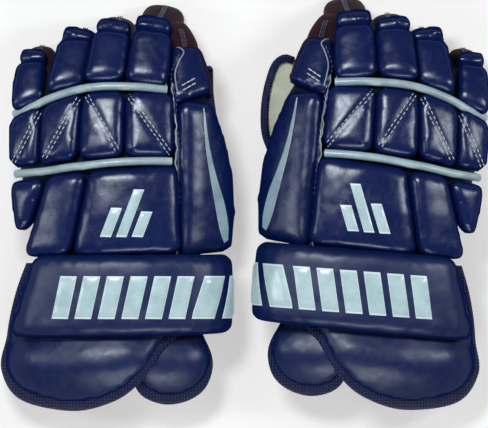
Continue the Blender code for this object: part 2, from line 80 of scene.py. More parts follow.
# Each finger: lean, roll, pitch of its two segments in degrees, their lengths, and its widths
FINGERS = {
    "index": (8, -3, (16, 56), (0.041, 0.046), (0.0325, 0.0285, 0.0255)),
    "middle": (10, 0, (19, 66), (0.040, 0.042), (0.0300, 0.0268, 0.0245)),
    "ring": (12, 3, (19, 66), (0.040, 0.037), (0.0280, 0.0250, 0.0225)),
    "pinkie": (2, 7, (18, 55), (0.035, 0.030), (0.0245, 0.0215, 0.0195)),
}
GUSSET_BULGE = {"index": -0.0030, "middle": 0.0026, "ring": -0.0034, "pinkie": 0.0020}  # sideways
CAP_SHIFT = {"index": 0.0085, "middle": 0.0030, "ring": 0.0022, "pinkie": 0.0040}
CAP_SIZE = {  # how much longer and wider a cap is than the finger in it
    "index": (1.08, 1.16), "middle": (1.02, 1.0), "ring": (0.98, 1.0), "pinkie": (1.02, 1.0),
    "thumb": (1.0, 1.06),
}
THUMB_TIP = (-4, -20, 18, 0.064, (0.029, 0.021))  # lean, roll, pitch, length, widths
THUMB_SHIFT = Vector((-0.0032, 0, 0))  # the looks lie this much closer to the hand

# The looks
VOXEL = 0.0030  # remeshing of a padded roll
GROWTH = 0.0021  # a roll grows by this much before its edges are softened
SOFTENING = 7  # rounds of smoothing
TIP_ROLL = {"index": 0.31, "middle": 0.30, "ring": 0.34, "pinkie": 0.35}  # share of the tip's length
ROLL_REACH = (0.0034, 0.0012)  # how far a finger's roll hides the gaps at its two ends
BACK_REACH = 0.0015  # the same for the backhand's and the cuff's rolls; the thumb's takes it twice
TAPE = 0.0088  # width of the tape that shows round a flap
# Across the tape: how far from the flap's edge, in its widths, and half its thickness there
TAPE_PROFILE = ((1.25, 0.0009), (0.9, 0.0017), (0.5, 0.0020), (0.15, 0.0018), (-0.05, 0.0006))
PRESSURE = 4.0
SIM_FRAMES = 20
SWELL = 0.0026  # the most that a point of a roll swells
SEED = 7
FLOOR_GLOW = 0.45  # keeps the shadows on the floor pale
WORLD_GLOW = 0.07
CELL = 0.008  # the size of the neighbourhood in which a roll's backing is looked for
FLOOR_LEVEL = 0.0009  # height of the floor in a glove's frame
CAP_PRESS, LEATHER_PRESS = 0.006, 0.003  # what lies lower than this is pressed by the floor
CUFF_SWELL = 0.0045  # the most that the cuff's padding swells to the little finger's side
THUMB_PAD_SHIFT = 0.0025  # towards the hand
CUFF_CORE = 0.060  # the arm's middle lies this far under the cuff's crown

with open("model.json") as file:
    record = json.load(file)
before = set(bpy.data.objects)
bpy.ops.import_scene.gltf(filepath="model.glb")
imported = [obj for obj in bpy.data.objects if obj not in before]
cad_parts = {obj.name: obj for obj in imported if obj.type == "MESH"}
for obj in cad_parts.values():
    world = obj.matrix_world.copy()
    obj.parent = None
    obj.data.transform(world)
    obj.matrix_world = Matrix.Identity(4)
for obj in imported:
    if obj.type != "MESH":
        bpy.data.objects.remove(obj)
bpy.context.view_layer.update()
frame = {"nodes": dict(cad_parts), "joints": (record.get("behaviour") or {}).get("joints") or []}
JOINTS = {joint["name"]: joint for joint in frame["joints"]}
MATERIALS = {}


# Frames


def glove_matrix(side):
    """The glove's own frame in the world. The right one is mirrored."""
    wrist = JOINTS[f"{side}_wrist"]
    across = Vector(wrist["axis"]).normalized()
    along = Vector((0, 0, 1)).cross(across)
    origin = Vector(wrist["pos_m"]) - Vector((0, 0, WRIST_TOP))
    if side == "right":
        across = -across
    made = Matrix.Identity(4)
    for row in range(3):
        made[row][0], made[row][1], made[row][2] = across[row], along[row], (0, 0, 1)[row]
        made[row][3] = origin[row]
    return made


GLOVE = {side: glove_matrix(side) for side in SIDES}
IDENTITY = Matrix.Identity(4)


def joint_place(name):
    """Where a left-hand joint's axis is, in the glove's frame."""
    return GLOVE["left"].inverted() @ Vector(JOINTS[f"left_{name}"]["pos_m"])


def segment_frame(place, lean, roll, pitch):
    """A frame whose Y runs along a finger segment and whose Z is its back."""
    turn = (
        Euler((0, 0, math.radians(-lean))).to_matrix()
        @ Euler((0, math.radians(-roll), 0)).to_matrix()
        @ Euler((math.radians(-pitch), 0, 0)).to_matrix()
    )
    return Matrix.Translation(place) @ turn.to_4x4()


def finger_frames(digit):
    """The frames of the hand at the knuckle, the finger's base and its tip."""
    lean, roll, pitches, _, _ = FINGERS[digit]
    knuckle, curl = joint_place(f"{digit}_knuckle"), joint_place(f"{digit}_curl")
    return (
        segment_frame(knuckle, lean, roll, pitches[0] * 0.45),
        segment_frame(knuckle, lean, roll, pitches[0]),
        segment_frame(curl, lean, roll, pitches[1]),
    )


THUMB_FRAME = segment_frame(joint_place("thumb_curl") + THUMB_SHIFT, *THUMB_TIP[:3])


def hand_back(x, y):
    return CROWN - HAND_ARCH * (x - CROWN_X) ** 2 - HAND_DIP * (y - DIP_Y) ** 2


def hand_palm(x, y):
    rise = 0.024 * max(0.0, (y - 0.010) / 0.120) ** 1.6
    return 0.001 + rise + 0.9 * (x + 0.020) ** 2


def blend(a, b, t):
    return a + (b - a) * t


def smooth(a, b, t):
    t = min(1.0, max(0.0, (t - a) / (b - a)))
    return t * t * (3 - 2 * t)


def wrist_arch(s, opening=0.0):
    """The arch under the cuff's roll, s metres round it from its crown: x, z and its slope."""
    shoulder, radius = ARCH_THUMB if s > 0 else ARCH_PINKIE
    if s > 0:
        radius = blend(radius, BELL_RADIUS, opening)
    top = min(abs(s), shoulder) / ARCH_RADIUS
    x, z = ARCH_RADIUS * math.sin(top), -ARCH_RADIUS * (1 - math.cos(top))
    angle = top
    if abs(s) > shoulder:
        angle = top + (abs(s) - shoulder) / radius
        x += radius * (math.sin(angle) - math.sin(top))
        z -= radius * (math.cos(top) - math.cos(angle))
    side = math.copysign(1, s)
    return ARCH_X + side * x, ARCH_Z + z, side * angle


def cuff_point(s, y, height, opening=0.0):
    x, z, angle = wrist_arch(s, opening)
    return Vector((x + height * math.sin(angle), y, z + height * math.cos(angle)))


def flap_point(s, y, layer):
    """A point of a flap, which puffs up past the roll, opens out, and falls to its edge."""
    beyond = max(0.0, -y - 0.080)
    point = cuff_point(s, y, layer + CUFF_RISE * smooth(0.066, 0.095, -y), smooth(0.050, 0.105, -y))
    point.x -= outward(point.x)
    point.z -= 3.0 * beyond**2 * (1 + 40 * beyond)
    return point


def outward(x):
    """How far the cuff's padding swells to the little finger's side."""
    return CUFF_SWELL * smooth(0.045, 0.088, -x)


# Materials


def new_material(name, colour, roughness, **shader_values):
    made = bpy.data.materials.new(name)
    made.use_nodes = True
    shader = made.node_tree.nodes["Principled BSDF"]
    shader.inputs["Base Color"].default_value = (*colour, 1)
    shader.inputs["Roughness"].default_value = roughness
    for key, value in shader_values.items():
        shader.inputs[key.replace("_", " ")].default_value = value
    made.diffuse_color = (*colour, 1)
    MATERIALS[name] = made
    return made, shader


class Nodes:
    """Short calls for building a material's node tree."""

    def __init__(self, material):
        self.tree = material.node_tree
        self.coordinates = self.add("ShaderNodeTexCoord").outputs["Object"]

    def add(self, kind, **settings):
        node = self.tree.nodes.new(kind)
        for key, value in settings.items():
            setattr(node, key, value)
        return node

    def link(self, source, target):
        self.tree.links.new(source, target)

    def upward(self):
        """How far the surface faces up, from -1 to 1."""
        split = self.add("ShaderNodeSeparateXYZ")
        self.link(self.add("ShaderNodeTexCoord").outputs["Normal"], split.inputs[0])
        return split.outputs["Z"]

    def noise(self, scale, detail=3.0, roughness=0.5, distortion=0.0, coordinates=None):
        node = self.add("ShaderNodeTexNoise")
        node.inputs["Scale"].default_value = scale
        node.inputs["Detail"].default_value = detail
        node.inputs["Roughness"].default_value = roughness
        node.inputs["Distortion"].default_value = distortion
        self.link(coordinates or self.coordinates, node.inputs["Vector"])
        return node.outputs["Fac"]

    def cells(self, scale, feature="DISTANCE_TO_EDGE", randomness=1.0):
        node = self.add("ShaderNodeTexVoronoi", feature=feature)
        node.inputs["Scale"].default_value = scale
        node.inputs["Randomness"].default_value = randomness
        self.link(self.coordinates, node.inputs["Vector"])
        return node.outputs["Distance"]

    def wave(self, scale, direction, distortion=0.0, coordinates=None):
        node = self.add("ShaderNodeTexWave", bands_direction=direction, wave_profile="SIN")
        node.inputs["Scale"].default_value = scale
        node.inputs["Distortion"].default_value = distortion
        self.link(coordinates or self.coordinates, node.inputs["Vector"])
        return node.outputs["Fac"]

    def maths(self, operation, first, second=None):
        node = self.add("ShaderNodeMath", operation=operation)
        for socket, value in zip(node.inputs, (first, second)):
            if value is None:
                continue
            if isinstance(value, (int, float)):
                socket.default_value = value
            else:
                self.link(value, socket)
        return node.outputs[0]

    def span(self, value, low, high, from_low=0.0, from_high=1.0):
        node = self.add("ShaderNodeMapRange")
        for key, number in (
            ("From Min", from_low), ("From Max", from_high), ("To Min", low), ("To Max", high),
        ):
            node.inputs[key].default_value = number
        self.link(value, node.inputs["Value"])
        return node.outputs["Result"]

    def colours(self, value, *stops):
        """A colour ramp: stops are (place, (r, g, b))."""
        node = self.add("ShaderNodeValToRGB")
        ramp = node.color_ramp
        while len(ramp.elements) < len(stops):
            ramp.elements.new(0.5)
        for element, (place, colour) in zip(ramp.elements, stops):
            element.position = place
            element.color = (*colour, 1)
        self.link(value, node.inputs["Fac"])
        return node.outputs["Color"]

    def bump(self, *layers):
        """Stacks bumps: each layer is (height, strength, distance in metres)."""
        normal = None
        for height, strength, distance in layers:
            node = self.add("ShaderNodeBump")
            node.inputs["Strength"].default_value = strength
            node.inputs["Distance"].default_value = distance
            self.link(height, node.inputs["Height"])
            if normal is not None:
                self.link(normal, node.inputs["Normal"])
            normal = node.outputs["Normal"]
        return normal


def leather(name, dark, light, roughness, grain=0.5, crease=0.5):
    """Glossy synthetic leather: fine pebbled grain, soft creases, and a little wear in its gloss.
    Its reflection is turned down the sides of a roll as painted shade, so that the sides stay dark instead of
    mirroring the pale floor."""
    made, shader = new_material(name, light, roughness)
    n = Nodes(made)
    # painted shade: the reflection fades out as the surface turns away from facing up, which darkens the
    # sides of the rolls
    gloss = n.span(n.upward(), 0.0, 0.60, 0.60, 0.88)
    n.link(gloss, shader.inputs["Specular IOR Level"])
    pores = n.cells(1150.0, "DISTANCE_TO_EDGE")
    creases = n.noise(95.0, 5.0, 0.62, 1.4)
    folds = n.noise(26.0, 3.0, 0.5, 0.8)
    shade = n.maths("ADD", n.maths("MULTIPLY", folds, 0.6), n.maths("MULTIPLY", creases, 0.4))
    n.link(n.colours(shade, (0.36, dark), (0.66, light)), shader.inputs["Base Color"])
    rough = n.span(creases, roughness - 0.04, roughness + 0.08, 0.35, 0.70)
    n.link(rough, shader.inputs["Roughness"])
    normal = n.bump(
        (folds, 0.10 * crease, 0.0030),
        (creases, 0.10 * crease, 0.0010),
        (n.span(pores, 0.0, 1.0, 0.0, 0.25), 0.22 * grain, 0.0002),
    )
    n.link(normal, shader.inputs["Normal"])
    return made


def suede(name, dark, light):
    """Matt napped palm leather, rubbed darker in places."""
    made, shader = new_material(
        name, light, 0.82, Sheen_Weight=0.05, Sheen_Roughness=0.5, Specular_IOR_Level=0.15
    )
    n = Nodes(made)
    patches = n.noise(38.0, 4.0, 0.6, 0.5)
    nap = n.noise(900.0, 2.0, 0.7)
    wrinkles = n.noise(120.0, 4.0, 0.6, 2.2)
    shade = n.maths("ADD", n.maths("MULTIPLY", patches, 0.7), n.maths("MULTIPLY", nap, 0.3))
    n.link(n.colours(shade, (0.34, dark), (0.66, light)), shader.inputs["Base Color"])
    n.link(n.span(patches, 0.72, 0.9, 0.3, 0.7), shader.inputs["Roughness"])
    n.link(n.bump((wrinkles, 0.5, 0.0012), (nap, 0.35, 0.0003)), shader.inputs["Normal"])
    return made


def knit(name, dark, light, scale, roughness=0.75):
    """A woven or mesh fabric: two crossed sets of threads."""
    made, shader = new_material(
        name, light, roughness, Sheen_Weight=0.04, Sheen_Roughness=0.4, Specular_IOR_Level=0.25
    )
    n = Nodes(made)
    weave = n.maths("MULTIPLY", n.wave(scale, "DIAGONAL", 1.0), n.wave(scale, "Z", 1.0))
    blotches = n.noise(60.0, 3.0)
    shade = n.maths("ADD", n.maths("MULTIPLY", weave, 0.7), n.maths("MULTIPLY", blotches, 0.3))
    n.link(n.colours(shade, (0.12, dark), (0.75, light)), shader.inputs["Base Color"])
    n.link(n.span(weave, roughness - 0.08, roughness + 0.1), shader.inputs["Roughness"])
    n.link(n.bump((weave, 0.6, 0.0005)), shader.inputs["Normal"])
    return made


def webbing(name, dark, light):
    """A coarse woven tape."""
    made, shader = new_material(name, light, 0.6, Specular_IOR_Level=0.3)
    n = Nodes(made)
    across, along = n.wave(125.0, "X", 0.6), n.wave(125.0, "Y", 0.6)
    weave = n.maths("MULTIPLY", n.span(across, 0.2, 1.0), n.span(along, 0.2, 1.0))
    n.link(n.colours(weave, (0.15, dark), (0.80, light)), shader.inputs["Base Color"])
    n.link(n.span(n.noise(300.0), 0.5, 0.7), shader.inputs["Roughness"])
    n.link(n.bump((weave, 1.0, 0.0008)), shader.inputs["Normal"])
    return made


def vinyl(name, dark, light, roughness=0.28):
    """Smooth moulded or welded plastic with faint scuffs."""
    made, shader = new_material(name, light, roughness, Coat_Weight=0.25, Coat_Roughness=0.12)
    n = Nodes(made)
    clouds = n.noise(70.0, 4.0, 0.6)
    scuffs = n.noise(420.0, 3.0, 0.7, 2.5)
    n.link(n.colours(clouds, (0.30, dark), (0.62, light)), shader.inputs["Base Color"])
    n.link(n.span(scuffs, roughness - 0.06, roughness + 0.16, 0.35, 0.7), shader.inputs["Roughness"])
    n.link(n.bump((scuffs, 0.15, 0.0002), (clouds, 0.15, 0.0008)), shader.inputs["Normal"])
    return made


def thread(name, colour):
    """Twisted sewing thread."""
    made, shader = new_material(name, colour, 0.6, Sheen_Weight=0.3)
    n = Nodes(made)
    twist = n.wave(1500.0, "DIAGONAL", 2.0)
    tone = n.noise(200.0)
    darker = tuple(c * 0.72 for c in colour)
    n.link(n.colours(tone, (0.3, darker), (0.7, colour)), shader.inputs["Base Color"])
    n.link(n.span(twist, 0.5, 0.7), shader.inputs["Roughness"])
    n.link(n.bump((twist, 0.4, 0.0002)), shader.inputs["Normal"])
    return made


def make_materials():
    leather("navy", (0.0030, 0.0100, 0.070), (0.0046, 0.0128, 0.086), 0.24)
    leather("navy_roll", (0.0050, 0.0135, 0.072), (0.0072, 0.0165, 0.088), 0.37, crease=0.4)
    suede("palm_suede", (0.040, 0.012, 0.014), (0.090, 0.028, 0.028))
    suede("tip_suede", (0.016, 0.005, 0.010), (0.042, 0.012, 0.018))
    knit("gusset", (0.0020, 0.0030, 0.012), (0.0070, 0.0100, 0.042), 420.0)
    webbing("tape", (0.0020, 0.0035, 0.022), (0.0180, 0.0340, 0.170))
    knit("lining", (0.70, 0.68, 0.52), (0.84, 0.82, 0.66), 380.0, 0.85)
    vinyl("piping", (0.34, 0.43, 0.46), (0.48, 0.59, 0.62))
    vinyl("crescent", (0.26, 0.37, 0.44), (0.36, 0.48, 0.55))
    vinyl("silver", (0.46, 0.60, 0.63), (0.60, 0.74, 0.76), 0.24)
    vinyl("white", (0.74, 0.80, 0.82), (0.86, 0.92, 0.94), 0.34)
    vinyl("edging", (0.30, 0.32, 0.36), (0.46, 0.48, 0.52), 0.4)
    thread("stitch", (0.76, 0.78, 0.80))
    thread("stitch_soft", (0.12, 0.14, 0.20))
    thread("stitch_dark", (0.02, 0.024, 0.07))


# Meshes: each is (vertices as an array, faces as a list) in the glove's frame


def grid_faces(columns, rows, flip=False):
    faces = []
    for j in range(rows - 1):
        for i in range(columns - 1):
            a = j * columns + i
            face = (a, a + 1, a + columns + 1, a + columns)
            faces.append(face[::-1] if flip else face)
    return faces


def slab(top, bottom):
    """A closed slab between two grids of points of the same size: arrays of rows, columns, 3."""
    rows, columns = top.shape[:2]
    count = rows * columns
    points = np.concatenate([top.reshape(-1, 3), bottom.reshape(-1, 3)])
    faces = grid_faces(columns, rows)
    faces += [tuple(count + k for k in reversed(face)) for face in grid_faces(columns, rows)]
    rim = [j for j in range(columns)]
    rim += [j * columns + columns - 1 for j in range(1, rows)]
    rim += [(rows - 1) * columns + i for i in range(columns - 2, -1, -1)]
    rim += [j * columns for j in range(rows - 2, 0, -1)]
    for a, b in zip(rim, rim[1:] + rim[:1]):
        faces.append((a, count + a, count + b, b))
    return points, faces


def tube(points, radii, sides=12, hole=0.0):
    """A tube along the points. hole, a share of the radius, leaves its ends open as a hollow."""
    points = [Vector(p) for p in points]
    if np.isscalar(radii):
        radii = [radii] * len(points)
    tangents = [
        (points[min(k + 1, len(points) - 1)] - points[max(k - 1, 0)]).normalized()
        for k in range(len(points))
    ]
    side = tangents[0].orthogonal().normalized()
    rings = []
    for point, tangent, radius in zip(points, tangents, radii):
        side = (side - tangent * side.dot(tangent)).normalized()
        up = tangent.cross(side)
        ring = []
        for k in range(sides):
            turn = 2 * math.pi * k / sides
            ring.append(point + (side * math.cos(turn) + up * math.sin(turn)) * radius)
        rings.append(ring)
    if hole:
        for end, inward in ((0, 1), (-1, -1)):
            middle, tangent = points[end], tangents[end] * inward
            mouth = [middle + (p - middle) * hole for p in rings[end]]
            floor = [p + tangent * radii[end] * 1.6 for p in mouth]
            if end == 0:
                rings = [floor, mouth] + rings
            else:
                rings = rings + [mouth, floor]
    count = len(rings)
    vertices = [p for ring in rings for p in ring] + [
        sum(rings[0], Vector()) / sides, sum(rings[-1], Vector()) / sides
    ]
    faces = []
    for j in range(count - 1):
        for k in range(sides):
            after = (k + 1) % sides
            faces.append((j * sides + k, j * sides + after, (j + 1) * sides + after, (j + 1) * sides + k))
    for k in range(sides):
        after = (k + 1) % sides
        faces.append((after, k, count * sides))
        last = (count - 1) * sides
        faces.append((last + k, last + after, count * sides + 1))
    return np.array([tuple(v) for v in vertices]), faces


def joined(parts):
    """Several meshes as one."""
    points, faces, start = [], [], 0
    for vertices, part_faces in parts:
        points.append(np.asarray(vertices, float).reshape(-1, 3))
        faces += [tuple(start + k for k in face) for face in part_faces]
        start += len(points[-1])
    return np.concatenate(points), faces


def pressed(shape, height):
    """The shape with all that lies under the height squeezed together, so that it rests on the floor."""
    points, faces = shape
    low, room = points[:, 2] < height, height - FLOOR_LEVEL
    points[low, 2] = FLOOR_LEVEL + room * np.exp((points[low, 2] - height) / room)
    return points, faces


def curve_points(controls, count):
    """Points on the smooth curve through the controls (Catmull-Rom)."""
    controls = [Vector(c) for c in controls]
    made = []
    for step in range(count):
        place = step / (count - 1) * (len(controls) - 1)
        k = min(int(place), len(controls) - 2)
        f = place - k
        before, a = controls[max(k - 1, 0)], controls[k]
        b, after = controls[k + 1], controls[min(k + 2, len(controls) - 1)]
        made.append(
            0.5 * (2 * a + (b - before) * f + (2 * before - 5 * a + 4 * b - after) * f**2
                   + (3 * a - before - 3 * b + after) * f**3)
        )
    return made


def ring_points(half_width, top, bottom, station, lean, matrix, count=24, squareness=2.7, centre=0.0):
    """A rounded section of a finger in a segment's frame. Its top stands at y = station."""
    made = []
    for k in range(count):
        turn = 2 * math.pi * (k + 0.5) / count
        side = math.copysign(abs(math.cos(turn)) ** (2 / squareness), math.cos(turn))
        up = math.copysign(abs(math.sin(turn)) ** (2 / squareness), math.sin(turn))
        z = (top + bottom) / 2 + up * (top - bottom) / 2
        made.append(matrix @ Vector((centre + side * half_width, station + lean * (top - z), z)))
    return made


def loft(rings, wall, closed=False):
    """A tube of fabric through the rings with a wall, its outer side on the rings."""
    built = bmesh.new()
    rows = [[built.verts.new(p) for p in ring] for ring in rings]
    count = len(rows[0])
    for near, far in zip(rows, rows[1:]):
        for k in range(count):
            after = (k + 1) % count
            built.faces.new((near[k], near[after], far[after], far[k]))
    if closed:
        middle = sum((v.co for v in rows[-1]), Vector()) / count
        cap = built.verts.new(middle)
        for k in range(count):
            built.faces.new((rows[-1][k], rows[-1][(k + 1) % count], cap))
    bmesh.ops.recalc_face_normals(built, faces=built.faces)
    middle = sum((v.co for v in built.verts), Vector()) / len(built.verts)
    if sum((f.calc_center_median() - middle).dot(f.normal) for f in built.faces) < 0:
        bmesh.ops.reverse_faces(built, faces=built.faces)
    mesh = bpy.data.meshes.new("loft")
    built.to_mesh(mesh)
    built.free()
    return with_modifiers(mesh, ("SOLIDIFY", {"thickness": wall, "offset": -1.0}), ("SUBSURF", {"levels": 1}))


def with_modifiers(mesh, *modifiers):
    """The mesh after the modifiers, as (vertices, faces). The mesh is used up."""
    temporary = bpy.data.objects.new("temporary", mesh)
    bpy.context.scene.collection.objects.link(temporary)
    for number, (kind, settings) in enumerate(modifiers):
        modifier = temporary.modifiers.new(f"m{number}", kind)
        for key, value in settings.items():
            setattr(modifier, key, value)
    return evaluated(temporary)


def evaluated(temporary):
    """A temporary object's final mesh as (vertices, faces). The object is removed."""
    bpy.context.view_layer.update()
    graph = bpy.context.evaluated_depsgraph_get()
    shown = temporary.evaluated_get(graph)
    mesh = shown.to_mesh()
    points = np.empty(len(mesh.vertices) * 3)
    mesh.vertices.foreach_get("co", points)
    faces = [tuple(polygon.vertices) for polygon in mesh.polygons]
    shown.to_mesh_clear()
    data = temporary.data
    bpy.data.objects.remove(temporary)
    bpy.data.meshes.remove(data)
    return points.reshape(-1, 3), faces


def mesh_of(name, shape):
    vertices, faces = shape
    mesh = bpy.data.meshes.new(name)
    mesh.from_pydata([tuple(v) for v in vertices], [], faces)
    mesh.update()
    return mesh


def finish_faces(mesh, angle=40):
    built = bmesh.new()
    built.from_mesh(mesh)
    bmesh.ops.recalc_face_normals(built, faces=built.faces)
    built.to_mesh(mesh)
    built.free()
    mesh.shade_smooth()
    mesh.set_sharp_from_angle(angle=math.radians(angle))


def place(name, shape, material, body, slot, replaces=(), between=None, smooth_angle=40, fill=None):
    """Makes the piece on both gloves. between is (other body, start, end) for a piece across a joint; only
    whether it is given matters: such a piece is left in the world, not attached to a body, and nothing bends
    it.
    """
    made = {}
    for side in SIDES:
        mesh = mesh_of(f"{side}_{name}", shape[side] if isinstance(shape, dict) else shape)
        mesh.transform(GLOVE[side])
        finish_faces(mesh, smooth_angle)
        mesh.materials.append(MATERIALS[material])
        piece = bpy.data.objects.new(f"{side}_{name}", mesh)
        bpy.context.scene.collection.objects.link(piece)
        if between:
            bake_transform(piece)
        else:
            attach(piece, f"{side}_{body}")
        if replaces:
            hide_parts(*[f"{side}_{node}" for node in replaces])
        made[side] = piece
    return made


# The padded rolls


class Pad:
    """One roll: its shape, and how it lies. up points away from its backing."""

    def __init__(self, name, shape, up, swell=SWELL, pin=0.0035):
        self.name, self.up, self.swell, self.pin = name, up, swell, pin
        self.points, self.faces = remeshed(shape)
        self.tree = None

    def settle(self, points):
        self.points = points
        self.tree = BVHTree.FromPolygons([Vector(p) for p in points], self.faces)


def remeshed(shape):
    """An even mesh of the shape, grown a little and softened, so that its edges are rolled."""
    mesh = mesh_of("remesh", shape)
    built = bmesh.new()
    built.from_mesh(mesh)
    bmesh.ops.recalc_face_normals(built, faces=built.faces)
    built.to_mesh(mesh)
    built.free()
    return with_modifiers(
        mesh,
        ("REMESH", {"mode": "VOXEL", "voxel_size": VOXEL}),
        ("DISPLACE", {"strength": GROWTH, "mid_level": 0.0}),
        ("SMOOTH", {"factor": 0.5, "iterations": SOFTENING}),
    )


def cad_shape(node):
    """A left-hand CAD node's mesh in the glove's frame."""
    mesh = frame["nodes"][f"left_{node}"].data
    back = GLOVE["left"].inverted()
    built = bmesh.new()
    built.from_mesh(mesh)
    bmesh.ops.remove_doubles(built, verts=built.verts, dist=1e-6)
    points = np.array([tuple(back @ v.co) for v in built.verts])
    built.verts.ensure_lookup_table()
    faces = [tuple(v.index for v in face.verts) for face in built.faces]
    built.free()
    return points, faces


def lengthened(shape, matrix, back, ahead):
    """The shape stretched along a segment's Y, by back at its near end and ahead at its far one."""
    points, faces = shape
    into = matrix.inverted()
    local = np.array([tuple(into @ Vector(p)) for p in points])
    low, high = local[:, 1].min(), local[:, 1].max()
    share = (local[:, 1] - low) / (high - low)
    local[:, 1] += ahead * share - back * (1 - share)
    return np.array([tuple(matrix @ Vector(p)) for p in local]), faces


def box_pad(matrix, widths, ends, heights):
    """A plain roll on a finger segment, from which the padded one swells."""
    def cells(z):
        return np.array([
            [
                tuple(matrix @ Vector((u * blend(*widths, v) / 2, blend(*ends, v), z)))
                for u in np.linspace(-1, 1, 5)
            ]
            for v in np.linspace(0, 1, 5)
        ])

    return slab(cells(heights[1]), cells(heights[0]))


def flap_shape(edge, layer, root):
    """A flap's padding, which stops short of its edge by the tape's width."""
    columns, rows = 34, 22
    line = curve_points([Vector((s, y, 0)) for s, y in edge], columns)
    upper, lower = [], []
    for v in np.linspace(0, 1, rows):
        upper.append([])
        lower.append([])
        for k, end in enumerate(line):
            start = Vector((blend(*root, k / (columns - 1)), edge[0][1], 0))
            reach = (end - start).length
            flat = blend(start, end, v * max(0.0, reach - TAPE) / reach)
            crown = 0.0035 * smooth(0.066, 0.082, -flat.y) * smooth(1.0, 0.72, v)
            upper[-1].append(tuple(flap_point(flat.x, flat.y, layer + crown)))
            lower[-1].append(tuple(flap_point(flat.x, flat.y, layer - FLAP + 0.001)))
    return slab(np.array(upper), np.array(lower))


def thumb_tip_shape():
    """The roll on the thumb's tip: broad at the joint, leaning to the hand, narrow at its end."""
    length = THUMB_TIP[3]
    rows = []
    for v in np.linspace(0, 1, 8):
        left = blend(-0.0190, -0.0125, v**1.3)
        right = blend(0.0160, 0.0095, v**1.3)
        y = blend(0.0006, length * 0.66, v)
        rows.append([
            (blend(left, right, u), y - 0.003 * math.cos(math.pi * u) * (1 - v))
            for u in np.linspace(0, 1, 8)
        ])

    def cells(z):
        return np.array([
            [tuple(THUMB_FRAME @ Vector((x, y, z - 12 * x * x))) for x, y in row]
            for row in rows
        ])

    return slab(cells(0.0115), cells(-0.0015))


def make_pads():
    pads = []
    for name in ("main", "ring", "pinkie"):
        longer = lengthened(cad_shape(f"back_pad_{name}"), IDENTITY, BACK_REACH, 0.0)
        pads.append(Pad(f"back_pad_{name}", longer, Vector((0, 0, 1))))
    for digit in DIGITS:
        pads.append(Pad(f"knuckle_pad_{digit}", cad_shape(f"knuckle_pad_{digit}"), Vector((0, 0, 1))))
        _, base, tip = finger_frames(digit)
        longer = lengthened(cad_shape(f"{digit}_pad"), base, *ROLL_REACH)
        pads.append(Pad(f"{digit}_pad", longer, base.to_3x3() @ Vector((0, 0, 1))))
        _, _, _, lengths, widths = FINGERS[digit]
        reach = lengths[1] * TIP_ROLL[digit]
        shape = box_pad(tip, (widths[1], widths[2]), (0.0010, reach), (-0.0015, 0.0100))
        pads.append(Pad(f"{digit}_tip_roll", shape, tip.to_3x3() @ Vector((0, 0, 1)), swell=0.0018))
    thumb = lengthened(cad_shape("thumb_pad"), IDENTITY, 2 * BACK_REACH, 0.0)
    thumb[0][:, 0] -= THUMB_PAD_SHIFT
    pads.append(Pad("thumb_pad", thumb, Vector((0.35, 0, 1)).normalized(), swell=0.0016))
    pads.append(Pad("thumb_tip_pad", thumb_tip_shape(), THUMB_FRAME.to_3x3() @ Vector((0, 0, 1))))
    roll, roll_faces = lengthened(cad_shape("cuff_roll"), IDENTITY, 0.0, BACK_REACH)
    roll[:, 0] -= [outward(x) for x in roll[:, 0]]
    pads.append(Pad("cuff_roll", (roll, roll_faces), None, swell=0.0022, pin=0.004))
    outer = flap_shape(OUTER_EDGE, OUTER_LAYER, OUTER_ROOT)
    inner = flap_shape(INNER_EDGE, INNER_LAYER, INNER_ROOT)
    pads.append(Pad("cuff_flap_outer", outer, None, swell=0.0018, pin=0.002))
    pads.append(Pad("cuff_flap_inner", inner, None, swell=0.0022, pin=0.002))
    return pads


def depth_below(pad):
    """How high each point of the pad stands over the lowest one near it."""
    points = pad.points
    if pad.up is None:
        # on the cuff, up is away from an axis below the arch
        across, above = points[:, 0] - ARCH_X, points[:, 2] - (ARCH_Z - CUFF_CORE)
        heights = np.hypot(across, above)
        cells = np.stack([np.arctan2(across, above) / 0.12, points[:, 1] / CELL], 1)
    else:
        up = np.array(pad.up)
        heights = points @ up
        cells = (points - np.outer(heights, up)) / CELL
    keys = [tuple(cell) for cell in np.round(cells).astype(int)]
    lowest = {}
    for key, height in zip(keys, heights):
        lowest[key] = min(lowest.get(key, height), height)
    return np.array([height - lowest[key] for key, height in zip(keys, heights)])


def inflate(pads):
    """One cloth simulation for all the rolls of a glove: air pressure inside, backing held."""
    starts = np.cumsum([0] + [len(pad.points) for pad in pads])
    shape = joined([(pad.points, pad.faces) for pad in pads])
    mesh = mesh_of("rolls", shape)
    rolls = bpy.data.objects.new("rolls", mesh)
    bpy.context.scene.collection.objects.link(rolls)
    held = rolls.vertex_groups.new(name="backing")
    for pad, start in zip(pads, starts):
        depths = depth_below(pad)
        held.add([int(start + k) for k in np.nonzero(depths < pad.pin)[0]], 1.0, "REPLACE")
    cloth = rolls.modifiers.new("Cloth", "CLOTH")
    settings = cloth.settings
    settings.quality = 5
    settings.mass = 0.15
    settings.tension_stiffness = 12
    settings.compression_stiffness = 12
    settings.shear_stiffness = 6
    settings.bending_stiffness = 1.5
    settings.air_damping = 2
    settings.use_pressure = True
    settings.uniform_pressure_force = PRESSURE
    settings.vertex_group_mass = "backing"
    settings.effector_weights.gravity = 0
    for number in range(1, SIM_FRAMES + 1):
        bpy.context.scene.frame_set(number)
    graph = bpy.context.evaluated_depsgraph_get()
    simulated = rolls.evaluated_get(graph).to_mesh()
    moved = np.empty(len(simulated.vertices) * 3)
    simulated.vertices.foreach_get("co", moved)
    moved = moved.reshape(-1, 3)
    bpy.data.objects.remove(rolls)
    bpy.context.scene.frame_set(1)
    for pad, start in zip(pads, starts):
        shift = moved[start : start + len(pad.points)] - pad.points
        length = np.linalg.norm(shift, axis=1, keepdims=True)
        capped = shift * (pad.swell * np.tanh(length / pad.swell) / np.maximum(length, 1e-9))
        pad.settle(pad.points + capped)


